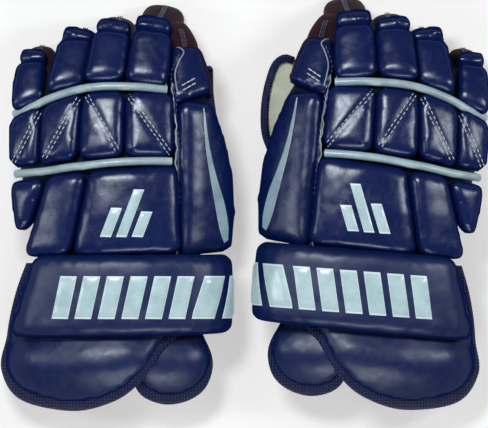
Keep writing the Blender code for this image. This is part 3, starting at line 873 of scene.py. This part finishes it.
def wrinkle(pad, amount=0.00030):
    """Soft unevenness of padded leather, in the mesh itself."""
    mesh = mesh_of("wrinkle", (pad.points, pad.faces))
    normals = np.empty(len(mesh.vertices) * 3)
    mesh.vertices.foreach_get("normal", normals)
    normals = normals.reshape(-1, 3)
    bpy.data.meshes.remove(mesh)
    depth = depth_below(pad)
    points = pad.points.copy()
    for k, point in enumerate(points):
        where = Vector(point)
        broad = noise.noise(where * 48 + Vector((SEED, 0, 0)))
        narrow = noise.noise(where * 130 + Vector((0, SEED, 0)))
        crease = -abs(noise.noise(Vector((where.x * 60, where.y * 60, where.z * 150)))) * 0.6
        size = min(1.0, depth[k] / 0.006)
        points[k] += normals[k] * amount * size * (broad * 1.6 + narrow * 0.7 + crease)
    pad.settle(points)


def groove(pad, path, depth=0.0011, width=0.0022):
    """Presses a sewn line into a roll."""
    line = np.array([tuple(p) for p in path])
    mesh = mesh_of("groove", (pad.points, pad.faces))
    normals = np.empty(len(mesh.vertices) * 3)
    mesh.vertices.foreach_get("normal", normals)
    normals = normals.reshape(-1, 3)
    bpy.data.meshes.remove(mesh)
    points = pad.points.copy()
    nearest = np.full(len(points), 1e9)
    for a, b in zip(line, line[1:]):
        along = b - a
        share = np.clip(((points - a) @ along) / max(along @ along, 1e-12), 0, 1)
        nearest = np.minimum(nearest, np.linalg.norm(points - (a + share[:, None] * along), axis=1))
    points -= normals * (depth * np.exp(-((nearest / width) ** 2)))[:, None]
    pad.settle(points)


def on_surface(pad, x, y, lift=0.0, start=None, direction=None):
    """The point of a roll under (x, y), or along a ray, lifted off it."""
    start = Vector(start) if start is not None else Vector((x, y, 0.2))
    direction = Vector(direction) if direction is not None else Vector((0, 0, -1))
    hit, normal, _, _ = pad.tree.ray_cast(start, direction)
    if hit is None:
        hit, normal, _, _ = pad.tree.find_nearest(Vector((x, y, hand_back(x, y) + 0.014)))
    if normal.dot(direction) > 0:
        normal = -normal
    return hit + normal * lift, normal


def capsule(a, b, radius, sides=6):
    """One stitch: a little pill from a to b."""
    along = b - a
    points = [a, a + along * 0.16, a + along * 0.84, b]
    return tube(points, [radius * 0.45, radius, radius, radius * 0.45], sides)


def stitches(line, radius=0.00042, stitch=0.0040, gap=0.0018):
    """Thread laid along a line of points on a surface, stitch by stitch."""
    line = [Vector(p) for p in line]
    lengths = [0.0]
    for a, b in zip(line, line[1:]):
        lengths.append(lengths[-1] + (b - a).length)

    def at(distance):
        k = max(j for j, done in enumerate(lengths[:-1]) if done <= distance)
        share = (distance - lengths[k]) / max(lengths[k + 1] - lengths[k], 1e-9)
        return blend(line[k], line[k + 1], min(share, 1.0))

    parts = []
    distance = gap / 2
    while distance + stitch <= lengths[-1]:
        parts.append(capsule(at(distance), at(distance + stitch), radius))
        distance += stitch + gap
    return joined(parts)


def seam_on(pad, corners, count=14, lift=0.0003):
    """A line on the roll between points given by their x and y."""
    flat = curve_points([Vector((x, y, 0)) for x, y in corners], count)
    return [on_surface(pad, p.x, p.y, lift)[0] for p in flat]


# Pieces on the back of the hand

NODE_BODIES = {"back_pad": "hand", "knuckle_pad": "hand", "cuff": "cuff", "thumb_pad": "thumb_base"}


def body_for(name):
    for start, body in NODE_BODIES.items():
        if name.startswith(start):
            return body
    if name == "thumb_tip_pad":
        return "thumb_end"
    digit = name.split("_")[0]
    return f"{digit}_end" if name.endswith("tip_roll") else f"{digit}_base"


def place_pads(pads):
    for pad in pads:
        subdivided = with_modifiers(
            mesh_of(pad.name, (pad.points, pad.faces)), ("SUBSURF", {"levels": 1})
        )
        replaced = () if pad.name.endswith("tip_roll") or pad.name == "thumb_tip_pad" else (pad.name,)
        place(
            pad.name + "_cover", subdivided, "navy_roll" if "cuff" in pad.name else "navy",
            body_for(pad.name), "navy_leather", replaced, fill=0.8, smooth_angle=180,
        )


def knuckle_seams(pads):
    """Double white stitching across each knuckle roll, slanting in from both outer sides."""
    corners = {}
    for digit in DIGITS:
        pad = pads[f"knuckle_pad_{digit}"]
        low, high = pad.points.min(0), pad.points.max(0)
        edge = 0.0030
        left_low = min(p[0] for p in pad.points if p[1] < low[1] + 0.012) + edge
        right_low = max(p[0] for p in pad.points if p[1] < low[1] + 0.012) - edge
        left_high = min(p[0] for p in pad.points if p[1] > high[1] - 0.012) + edge
        right_high = max(p[0] for p in pad.points if p[1] > high[1] - 0.012) - edge
        if digit in ("pinkie", "ring"):
            corners[digit] = ((right_high, high[1] - edge), (left_low, low[1] + edge))
        else:
            corners[digit] = ((left_high, high[1] - edge), (right_low, low[1] + edge))
    for digit, (start, end) in corners.items():
        pad = pads[f"knuckle_pad_{digit}"]
        along = (Vector(end) - Vector(start)).normalized()
        aside = Vector((-along.y, along.x)) * 0.0015
        lines = []
        for sign in (-1, 1):
            a, b = Vector(start) + aside * sign, Vector(end) + aside * sign
            lines.append([a, b])
        for line in lines:
            groove(pad, seam_on(pad, line), 0.0009, 0.0016)
        shape = joined([stitches(seam_on(pad, line), 0.00040, 0.0030, 0.0016) for line in lines])
        place(f"knuckle_stitches_{digit}", shape, "stitch", "hand", "pale_piping")


def pipings():
    """Two pale welts. Each is a hollow tube whose cut end shows at the thumb side."""
    routes = {
        "lower": (
            ((-0.086, 0.0655), (-0.072, 0.0665), (-0.058, 0.068), (-0.042, 0.0705), (-0.024, 0.0725),
             (-0.006, 0.0745), (0.012, 0.0755), (0.028, 0.0758), (0.0425, 0.0755)), 0.0100,
        ),
        "upper": (
            ((-0.0875, 0.1150), (-0.074, 0.1200), (-0.060, 0.1265), (-0.046, 0.1315), (-0.030, 0.1355),
             (-0.014, 0.1372), (0.004, 0.1372), (0.020, 0.1365), (0.0385, 0.1345)), 0.0092,
        ),
    }
    for name, (route, height) in routes.items():
        controls = []
        for k, (x, y) in enumerate(route):
            drop = 0.0035 if k == 0 else 0.0
            controls.append((x, y, hand_back(x, y) + height - drop))
        shape = tube(curve_points(controls, 60), 0.0034, 16, hole=0.42)
        place(f"piping_{name}_tube", shape, "piping", "hand", "pale_piping", (f"piping_{name}",))


def decal(point, corners, rows, columns, bottom, top):
    """A thin closed slab over a surface. corners: lower left, lower right, upper left, upper right;
    point(a, b) gives (place, normal) on the surface."""
    low_left, low_right, up_left, up_right = (Vector(c) for c in corners)
    upper, lower = [], []
    for v in np.linspace(0, 1, rows):
        upper.append([])
        lower.append([])
        for u in np.linspace(0, 1, columns):
            flat = blend(blend(low_left, low_right, u), blend(up_left, up_right, u), v)
            place_on, normal = point(flat.x, flat.y)
            edge = min(u, 1 - u, v, 1 - v) <= 0
            upper[-1].append(tuple(place_on + normal * (top * (0.55 if edge else 1.0))))
            lower[-1].append(tuple(place_on + normal * bottom))
    return slab(np.array(upper), np.array(lower))


def grown(corners, amount):
    """The same four corners moved out from their middle."""
    middle = sum((Vector(c) for c in corners), Vector((0, 0))) / 4
    return [Vector(c) + (Vector(c) - middle).normalized() * amount for c in corners]


def emblem(pads):
    """A generic badge: three slanted bars that step up towards the thumb."""
    pad = pads["back_pad_main"]

    def point(x, y):
        return on_surface(pad, x, y)

    bars = (
        ((-0.0150, 0.015), (-0.0070, 0.015), (-0.0068, 0.036), (0.0012, 0.036)),
        ((-0.0020, 0.015), (0.0060, 0.015), (0.0115, 0.051), (0.0195, 0.051)),
        ((0.0110, 0.015), (0.0190, 0.015), (0.0180, 0.033), (0.0260, 0.033)),
    )
    outline = joined([decal(point, grown(bar, 0.0016), 12, 7, -0.0008, 0.0006) for bar in bars])
    filling = joined([decal(point, bar, 12, 7, 0.0002, 0.0013) for bar in bars])
    place("badge_outline", outline, "white", "hand", "pale_piping")
    place("badge_bars", filling, "silver", "hand", "pale_piping")


def cuff_graphic(pads):
    """A row of slanted bars round the cuff's roll, each silver on a white edge."""
    pad = pads["cuff_roll"]

    def point(s, y):
        _, _, angle = wrist_arch(s)
        out = Vector((math.sin(angle), 0, math.cos(angle)))
        return on_surface(pad, 0, 0, 0, start=cuff_point(s, y, 0.06), direction=-out)

    outlines, fillings = [], []
    bar, step, slant = 0.0115, 0.0176, 0.0065
    for number in range(8):
        s = -0.056 + number * step
        bars = ((s, -0.052), (s + bar, -0.052), (s + slant, -0.020), (s + bar + slant, -0.020))
        outlines.append(decal(point, grown(bars, 0.0016), 14, 8, -0.0008, 0.0006))
        fillings.append(decal(point, bars, 14, 8, 0.0002, 0.0014))
    place("cuff_bars_outline", joined(outlines), "white", "cuff", "pale_piping")
    place("cuff_bars", joined(fillings), "silver", "cuff", "pale_piping")


# Fingers and thumb


def finger_pieces(digit):
    """Two lengths of dark gusset, each across one joint, and the brown cap."""
    _, _, _, lengths, widths = FINGERS[digit]
    hand, base, tip = finger_frames(digit)
    top, bottom = -0.0006, -POCKET_DEPTH - 0.0008
    bulge = GUSSET_BULGE[digit]
    near, middle, far = (width / 2 + 0.0006 for width in widths)
    steep = math.tan(math.radians(34))

    def section(half, y, lean, matrix, inset=0.0):
        return ring_points(
            half + abs(bulge) / 2 - inset, top - inset, bottom + inset, y, lean, matrix, centre=bulge / 2
        )

    half_way = blend(near, middle, 0.5)
    first = loft(
        [
            section(near * 0.94, -0.030, 0.25, hand), section(near * 0.98, -0.008, 0.40, hand),
            section(near, -0.001, 0.22, hand), section(near, 0.003, 0.42, base),
            section(near, lengths[0] * 0.32, 0.18, base), section(half_way, lengths[0] * 0.55, 0.0, base),
        ],
        0.0012,
    )
    place(
        f"{digit}_gusset_near", first, "gusset", "hand", "finger_lining", (), smooth_angle=180,
        between=(f"{digit}_base", hand @ Vector((0, -0.010, -0.008)), base @ Vector((0, 0.012, -0.008))),
    )
    second = loft(
        [
            section(half_way, lengths[0] * 0.36, 0.0, base, 0.0006),
            section(middle, lengths[0] * 0.72, -0.25, base),
            section(middle, lengths[0] - 0.003, -steep, base),
            section(middle, 0.003, steep, tip),
            section(middle, lengths[1] * 0.30, steep * 0.4, tip),
            section(blend(middle, far, 0.5), lengths[1] * 0.52, 0.0, tip, 0.0006),
        ],
        0.0012,
    )
    place(
        f"{digit}_gusset_far", second, "gusset", f"{digit}_base", "finger_lining", (f"{digit}_sleeve",),
        smooth_angle=180, between=(
            f"{digit}_end", base @ Vector((0, lengths[0] - 0.010, -0.008)), tip @ Vector((0, 0.010, -0.008)),
        ),
    )
    fingertip(
        digit, tip, lengths[1], middle, far, f"{digit}_end", (f"{digit}_tip",), TIP_ROLL[digit],
        CAP_SHIFT[digit],
    )


def fingertip(name, matrix, length, wide, slim, body, replaces, bare_from, shift=0.0, depth=POCKET_DEPTH):
    """A brown cap over the finger's end, with a seam over it between two rows of thread.
    bare_from is the share of the length where the navy roll ends; shift moves the cap sideways."""
    top, bottom = 0.0002, -depth - 0.0014
    steep = math.tan(math.radians(30))
    reach, broad = CAP_SIZE[name]
    profile = (  # share of the length, width, how far the section draws in, lean
        (0.10, wide + 0.0006, 0.0, steep), (bare_from, wide + 0.0012, 0.0, steep * 0.4),
        (bare_from + 0.14, blend(wide, slim, 0.3) + 0.0022, -0.0024, 0.0),
        (0.82 * reach, blend(wide, slim, 0.6) * broad + 0.0026, -0.0028, 0.0),
        (0.98 * reach, slim * 1.10 * broad, -0.0010, 0.0), (1.09 * reach, slim * 0.86 * broad, 0.0034, 0.0),
        (1.135 * reach, slim * 0.50 * broad, 0.0080, 0.0),
    )
    rings = []
    for along, half, inset, lean in profile:
        centre = shift * smooth(0.15, 0.75, along)
        rings.append(
            ring_points(half, top - inset, bottom + inset, length * along, lean, matrix, centre=centre)
        )
    cap = pressed(loft(rings, 0.0016, closed=True), CAP_PRESS)
    place(f"{name}_cap", cap, "tip_suede", body, "finger_tips", replaces, smooth_angle=180)
    seam = (
        (bare_from - 0.04, 0.0010), (bare_from + 0.12, 0.0027), (0.82 * reach, 0.0032),
        (0.90 * reach, 0.0024), (0.96 * reach, 0.0008), (1.00 * reach, -0.0014),
    )

    def route(aside, lift):
        controls = [
            matrix @ Vector((aside + shift * smooth(0.15, 0.75, y), length * y + lift, z + lift))
            for y, z in seam
        ]
        return curve_points(controls, 36)

    threads = joined([
        stitches(route(offset, 0.0004), 0.00038, 0.0026, 0.0008) for offset in (-0.0016, 0.0016)
    ])
    place(f"{name}_cap_thread", threads, "stitch_soft", body, "finger_tips")
    place(f"{name}_cap_seam", tube(route(0.0, 0.0), 0.0007, 8), "stitch_dark", body, "finger_tips")


def thumb_pieces(pads):
    length, widths = THUMB_TIP[3:]
    rings = []
    for y, centre, half, top, bottom, slant in (
        (0.010, 0.0660, 0.0172, 0.0485, 0.0050, 0.9),
        (0.040, 0.0685, 0.0190, 0.0490, 0.0055, 0.25),
        (0.070, 0.0685, 0.0185, 0.0490, 0.0070, 0.0),
        (0.100, 0.0660, 0.0168, 0.0490, 0.0130, 0.0),
    ):
        points = ring_points(half, top, bottom, y, 0.0, IDENTITY, squareness=2.3, centre=centre)
        for p in points:
            p.y += slant * max(0.0, centre + half - p.x)
        rings.append(points)
    rings.append(ring_points(0.0168, 0.0490, 0.0200, 0.1200, -0.35, IDENTITY, squareness=2.3, centre=0.0640))
    wide, slim = widths[0] / 2 + 0.0006, widths[1] / 2 - 0.0002
    top, bottom = -0.0006, -POCKET_DEPTH - 0.0006
    rings.append(ring_points(wide, top, bottom, 0.006, 0.30, THUMB_FRAME, squareness=2.3))
    rings.append(ring_points(wide * 0.96, top, bottom, length * 0.42, 0.0, THUMB_FRAME, squareness=2.3))
    start = joint_place("thumb_curl") + Vector((0, -0.012, 0))
    place(
        "thumb_gusset", loft(rings, 0.0014), "gusset", "thumb_base", "finger_lining", ("thumb_sleeve",),
        between=("thumb_end", start, THUMB_FRAME @ Vector((0, 0.012, 0))), smooth_angle=180,
    )
    fingertip("thumb", THUMB_FRAME, length, wide, slim, "thumb_end", ("thumb_tip",), 0.60)
    crescent(pads["thumb_pad"])
    thumb_edges(pads["thumb_tip_pad"])
    thumb_loop()
    thumb_web()


def on_thumb_tip(pad, x, y, lift):
    """The point over (x, y) of the thumb tip's own frame on its roll."""
    over = THUMB_FRAME @ Vector((x, y, 0.05))
    down = THUMB_FRAME.to_3x3() @ Vector((0, 0, -1))
    return on_surface(pad, 0, 0, lift, start=over, direction=down)[0]


def along_thumb_tip(pad, controls, raised, aside=0.0, ahead=0.0):
    """Places on the thumb tip's roll, along a smooth line through the controls."""
    line = curve_points([Vector((x, y, 0)) for x, y in controls], 44)
    return [on_thumb_tip(pad, p.x + aside, p.y + ahead, raised) for p in line]


def thumb_edges(pad):
    """The thumb tip's trim: a white edge and thread towards the hand, a reddish welt outside,
    and two white bars across its lower corner."""
    inside = (
        (-0.0160, 0.002), (-0.0158, 0.012), (-0.0146, 0.022), (-0.0100, 0.031), (-0.0052, 0.038),
        (-0.0090, 0.0440),
    )
    edge = along_thumb_tip(pad, inside, 0.0001)
    place("thumb_tip_edge", tube(edge, 0.00055, 8), "edging", "thumb_end", "finger_tips")
    dashes = stitches(along_thumb_tip(pad, inside[:5], 0.0003, -0.0022, 0.0006), 0.0004, 0.0026, 0.0016)
    place("thumb_tip_thread", dashes, "stitch_soft", "thumb_end", "finger_tips")
    outside = ((0.0138, 0.003), (0.0134, 0.014), (0.0122, 0.026), (0.0100, 0.036), (0.0060, 0.0430))
    welt = along_thumb_tip(pad, outside, 0.0002)
    place("thumb_tip_welt", tube(welt, 0.0010, 8), "tip_suede", "thumb_end", "finger_tips")
    bars = []
    for offset in (0.0, 0.0042):
        near, far = 0.0045 + offset, 0.0100 + offset
        line = [
            on_thumb_tip(pad, blend(-0.0120, 0.0005, t), blend(near, far, t), 0.0003)
            for t in np.linspace(0, 1, 10)
        ]
        bars.append(stitches(line, 0.00055, 0.0040, 0.0005))
    place("thumb_tip_bars", joined(bars), "stitch", "thumb_end", "finger_tips")


def lining_row(hidden, rim):
    """Places across the loop's lining, which sags a little, from under the thumb to its rim."""
    return [
        tuple(blend(hidden, rim, u) - Vector((0, 0, 0.001 + 0.006 * u * (1 - u))))
        for u in np.linspace(-0.25, 1, 6)
    ]


def thumb_loop():
    """The taped rim of the opening beside the thumb, and the cream lining inside it. It stands
    open on the right glove and lies close on the left one."""
    rims, linings = {}, {}
    outer = (
        (0.0740, 0.1500, 0.047), (0.0815, 0.1515, 0.046), (0.0885, 0.1455, 0.044),
        (0.0925, 0.1320, 0.042), (0.0945, 0.1160, 0.040), (0.0942, 0.1000, 0.039),
        (0.0920, 0.0870, 0.037), (0.0870, 0.0760, 0.034),
    )
    near = [Vector((0.0725 + 0.15 * max(0.0, 0.13 - y), y, z)) for _, y, z in outer]
    for side, reach in (("left", 0.06), ("right", 1.0)):
        far = [blend(n, Vector(p), reach) for n, p in zip(near, outer)]
        line = curve_points(far, 50)
        rims[side] = ribbed(line, 0.0032)
        inner = curve_points(near, 50)
        upper = np.array([lining_row(a, b) for a, b in zip(inner, line)])
        linings[side] = slab(upper, upper - np.array([0, 0, 0.0018]))
    place("thumb_loop_tape", rims, "tape", "thumb_base", "finger_lining", smooth_angle=60)
    place("thumb_loop_lining", linings, "lining", "thumb_base", "finger_lining", smooth_angle=180)


def thumb_web():
    """The strip between hand and thumb, with its wavy white edge and a row of thread."""
    def ridge(y):
        """Height of the strip's middle and how far it waves sideways."""
        sway = 0.0007 * math.sin(y * 310) + 0.0004 * math.sin(y * 730 + 1)
        return blend(0.0735, 0.0660, smooth(0.075, 0.135, y)) - 0.0035 * smooth(0.02, 0.0, y), sway

    rows, edge, thread = [], [], []
    for y in np.linspace(-0.003, 0.140, 72):
        z, sway = ridge(y)
        lean = -0.0030 * smooth(0.095, 0.136, y)
        rows.append([
            (0.0425 + lean, y, z - 0.0100), (0.0448 + lean, y, z - 0.0018), (0.0466 + lean + sway, y, z),
            (0.0486 + lean, y, z - 0.0010), (0.0506 + lean, y, z - 0.0050), (0.0530 + lean, y, z - 0.0120),
        ])
        edge.append((0.0462 + lean + sway, y, z + 0.0004))
        thread.append((0.0484 + lean + sway * 0.5, y, z - 0.0002))
    top = np.array(rows)
    web = slab(top, top - np.array([0, 0, 0.0016]))
    across_seam = ("thumb_base", (0.0466, 0, 0.06), (0.0510, 0, 0.06))
    place("thumb_web", web, "navy", "hand", "navy_leather", between=across_seam, smooth_angle=180)
    place("thumb_web_edge", tube(edge, 0.00055, 8), "edging", "hand", "pale_piping")
    place("thumb_web_thread", stitches(thread, 0.00032, 0.0026, 0.0022), "stitch_soft", "hand", "pale_piping")


def crescent(pad):
    """A pale inlay down the outer side of the thumb's roll, with a white piped edge."""
    inner = (
        (0.0625, 0.1190), (0.0628, 0.1040), (0.0652, 0.0830), (0.0697, 0.0610), (0.0750, 0.0380),
        (0.0808, 0.0170), (0.0850, 0.0090),
    )
    outer = (
        (0.0632, 0.1185), (0.0650, 0.1035), (0.0692, 0.0830), (0.0765, 0.0610), (0.0850, 0.0400),
        (0.0892, 0.0220), (0.0890, 0.0110),
    )
    left = curve_points([Vector((x, y, 0)) for x, y in inner], 40)
    right = curve_points([Vector((x, y, 0)) for x, y in outer], 40)

    def point(x, y):
        out = Vector((0.45, 0, 1)).normalized()
        return on_surface(pad, x, y, 0, start=Vector((x, y, 0.055)) + out * 0.08, direction=-out)

    upper, lower = [], []
    for a, b in zip(left, right):
        upper.append([])
        lower.append([])
        for u in np.linspace(0, 1, 9):
            flat = blend(a, b, u)
            spot, normal = point(flat.x, flat.y)
            upper[-1].append(tuple(spot + normal * 0.0008))
            lower[-1].append(tuple(spot - normal * 0.0012))
    place("thumb_crescent", slab(np.array(upper), np.array(lower)), "crescent", "thumb_base", "pale_piping")
    edge = []
    for p in left:
        spot, normal = point(p.x, p.y)
        edge.append(spot + normal * 0.0007)
    place("thumb_crescent_edge", tube(edge, 0.00055, 8), "edging", "thumb_base", "pale_piping")


# The hand's own skin


def hand_shell():
    """The dark mesh pocket, from the wrist to the finger roots."""
    rings = []
    for y, left, right, lean, slant in (
        (-0.004, -0.066, 0.040, 0.16, 0.00), (0.020, -0.070, 0.042, 0.06, 0.03),
        (0.050, -0.0790, 0.0440, 0.0, 0.06), (0.085, -0.0845, 0.0435, -0.10, 0.10),
        (0.112, -0.0862, 0.0430, -0.25, 0.13), (0.140, -0.0862, 0.0425, -0.40, 0.16),
    ):
        points = []
        middle, half = (left + right) / 2, (right - left) / 2
        for k in range(40):
            turn = 2 * math.pi * (k + 0.5) / 40
            side = math.copysign(abs(math.cos(turn)) ** (2 / 2.7), math.cos(turn))
            up = math.copysign(abs(math.sin(turn)) ** (2 / 2.7), math.sin(turn))
            x = middle + side * half
            ahead = y + slant * min(0.0, x - 0.01)
            top, bottom = hand_back(x, ahead) - 0.0004, hand_palm(x, ahead) + 0.0044
            z = blend(bottom, top, (up + 1) / 2)
            points.append(Vector((x, ahead + lean * (top - z), z)))
        rings.append(points)
    shell = loft(rings, 0.0018)
    place("hand_shell", shell, "gusset", "hand", "hand_lining", ("hand_liner",), smooth_angle=180)


def palm_point(u, v, lift):
    left, right = blend(-0.062, -0.078, v), blend(0.036, 0.036, v)
    x = blend(left, right, u)
    y = blend(0.004, 0.122 + 0.16 * min(0.0, x - 0.01), v)
    z = hand_palm(x, y) + 0.0030 - lift
    wrinkled = 0.0009 * noise.noise(Vector((x * 55, y * 90, 3)))
    wrinkled += 0.0005 * noise.noise(Vector((x * 160, y * 200, 9)))
    # the edges turn up round the hand
    up = 0.010 * (smooth(0.88, 1.0, u) + smooth(0.12, 0.0, u))
    return Vector((x, y, max(z + wrinkled * (1 if lift < 0.01 else 0), 0.0004) + up))


def palm_pieces():
    """The palm leather and the patch sewn over its heel."""
    def sheet(u0, u1, v0, v1, low, high, columns, rows):
        def cells(lift):
            return np.array([
                [tuple(palm_point(u, v, lift)) for u in np.linspace(u0, u1, columns)]
                for v in np.linspace(v0, v1, rows)
            ])
        return slab(cells(low), cells(high))

    made = place(
        "palm_leather", sheet(0, 1, 0, 1, 0.0, 0.0018, 44, 50), "palm_suede", "hand", "palm_leather",
        ("palm",), smooth_angle=180,
    )
    patch = pressed(sheet(0.10, 0.90, 0.04, 0.50, 0.0016, 0.0028, 34, 24), LEATHER_PRESS)
    place("palm_patch", patch, "tip_suede", "hand", "palm_leather", smooth_angle=180)
    line = [palm_point(u, 0.47, 0.0030) for u in np.linspace(0.12, 0.88, 30)]
    sides = [[palm_point(u, v, 0.0030) for v in np.linspace(0.07, 0.47, 20)] for u in (0.12, 0.88)]
    shape = joined([stitches(path, 0.00035, 0.0030, 0.0015) for path in (line, *sides)])
    place("palm_patch_thread", shape, "stitch_dark", "hand", "palm_leather")


def cuff_lining():
    rings = []
    for y, left, right, top, bottom, lean in (
        (0.001, -0.0590, 0.0530, 0.0556, 0.0042, -0.18), (-0.020, -0.0585, 0.0545, 0.0556, 0.0024, -0.06),
        (-0.046, -0.0585, 0.0555, 0.0556, 0.0008, 0.0), (-0.070, -0.0590, 0.0555, 0.0545, 0.0008, 0.0),
        (-0.090, -0.0595, 0.0555, 0.0535, 0.0008, 0.0),
    ):
        half, centre = (right - left) / 2, (left + right) / 2
        rings.append(ring_points(half, top, bottom, y, lean, IDENTITY, 36, 2.6, centre))
    pocket = pressed(loft(rings, 0.0022), LEATHER_PRESS)
    place("cuff_pocket", pocket, "palm_suede", "cuff", "cuff_lining", ("cuff_liner",), smooth_angle=180)
    rim = rings[-1] + rings[-1][:1]
    place("cuff_pocket_binding", pressed(tube(rim, 0.0022, 8), LEATHER_PRESS), "tape", "cuff", "cuff_lining")


def wrist_gusset():
    """Soft dark fabric between the hand and the cuff."""
    rings = []
    for y, half, centre, top, bottom, lean in (
        (0.026, 0.0545, -0.0130, 0.0640, 0.0085, 0.10), (0.008, 0.0535, -0.0115, 0.0625, 0.0075, 0.10),
        (-0.004, 0.0535, -0.0065, 0.0600, 0.0065, 0.0), (-0.016, 0.0540, -0.0030, 0.0560, 0.0055, -0.05),
        (-0.034, 0.0540, -0.0020, 0.0535, 0.0040, 0.0),
    ):
        rings.append(ring_points(half, top, bottom, y, lean, IDENTITY, 36, 2.6, centre))
    place(
        "wrist_gusset", loft(rings, 0.0016), "gusset", "hand", "hand_lining", (),
        between=("cuff", (0, 0.014, 0.03), (0, -0.018, 0.03)), smooth_angle=180,
    )


# The cuff's flaps


def flap_tapes():
    """A ribbed woven tape folded over each flap's edge."""
    for name, edge, layer, root in (
        ("outer", OUTER_EDGE, OUTER_LAYER, OUTER_ROOT), ("inner", INNER_EDGE, INNER_LAYER, INNER_ROOT),
    ):
        line = curve_points([Vector((s, y, 0)) for s, y in edge], 200)
        upper, lower = [], []
        for k, end in enumerate(line):
            start = Vector((blend(*root, k / (len(line) - 1)), edge[0][1], 0))
            inward = (start - end).normalized()
            rib = 0.00022 * (k % 2)
            upper.append([])
            lower.append([])
            for across, half in TAPE_PROFILE:
                flat = end + inward * TAPE * across
                middle = layer - FLAP * 0.42
                upper[-1].append(tuple(flap_point(flat.x, flat.y, middle + half + rib)))
                lower[-1].append(tuple(flap_point(flat.x, flat.y, middle - half - rib)))
        shape = slab(np.array(upper), np.array(lower))
        place(f"cuff_flap_{name}_tape", shape, "tape", "cuff", "navy_leather", smooth_angle=60)


def ribbed(line, radius):
    """A round tape with small ribs across it."""
    dense = curve_points(line, len(line) * 3)
    radii = [radius + 0.00020 * math.cos(math.pi * k) for k in range(len(dense))]
    return tube(dense, radii, 12)


# The stage


def stage():
    low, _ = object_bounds()
    size = 3.0
    mesh = bpy.data.meshes.new("floor")
    corners = [(-size, -size, 0), (size, -size, 0), (size, size, 0), (-size, size, 0)]
    mesh.from_pydata(corners, [], [(0, 1, 2, 3)])
    floor = bpy.data.objects.new("floor", mesh)
    floor.location.z = low.z - 0.0005
    made, shader = new_material("floor", (0.66, 0.62, 0.60), 0.6)
    shader.inputs["Emission Color"].default_value = (1.0, 0.97, 0.96, 1)
    shader.inputs["Emission Strength"].default_value = FLOOR_GLOW
    mesh.materials.append(made)
    bpy.context.scene.collection.objects.link(floor)
    floor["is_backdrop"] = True

    world = bpy.data.worlds.new("studio")
    world.use_nodes = True
    background = world.node_tree.nodes["Background"]
    background.inputs["Color"].default_value = (1.0, 1.0, 1.0, 1)
    background.inputs["Strength"].default_value = WORLD_GLOW
    bpy.context.scene.world = world
    for name, spot, size, energy in (
        ("key", (-0.30, 0.45, 1.25), (0.34, 0.22), 9.2),
        ("right", (0.85, 0.20, 0.80), (0.14, 0.50), 3.8),
        ("left", (-0.90, 0.00, 0.70), (0.14, 0.50), 1.8),
        ("front", (0.05, -0.95, 0.70), (0.60, 0.20), 3.6),
    ):
        light = bpy.data.lights.new(name, "AREA")
        light.shape = "RECTANGLE"
        light.size, light.size_y = size
        light.energy = energy
        light.color = (0.86, 0.96, 1.0)
        lamp = bpy.data.objects.new(name, light)
        lamp.location = spot
        lamp.rotation_euler = (Vector((0, 0, 0.05)) - Vector(spot)).to_track_quat("-Z", "Y").to_euler()
        bpy.context.scene.collection.objects.link(lamp)
    bpy.context.scene.view_settings.view_transform = "Standard"


def camera():
    data = bpy.data.cameras.new("camera")
    data.lens = 397.8
    data.sensor_width = 36
    data.clip_start, data.clip_end = 0.01, 20
    made = bpy.data.objects.new("camera", data)
    made.location = (-0.0022, -0.0050, 4.50)
    bpy.context.scene.collection.objects.link(made)
    bpy.context.scene.camera = made


make_materials()
camera()
stage()
ALL_PADS = make_pads()
inflate(ALL_PADS)
for roll in ALL_PADS:
    wrinkle(roll)
PADS = {pad.name: pad for pad in ALL_PADS}
knuckle_seams(PADS)
place_pads(ALL_PADS)
pipings()
emblem(PADS)
cuff_graphic(PADS)
for finger_name in DIGITS:
    finger_pieces(finger_name)
thumb_pieces(PADS)
hand_shell()
palm_pieces()
cuff_lining()
wrist_gusset()
flap_tapes()
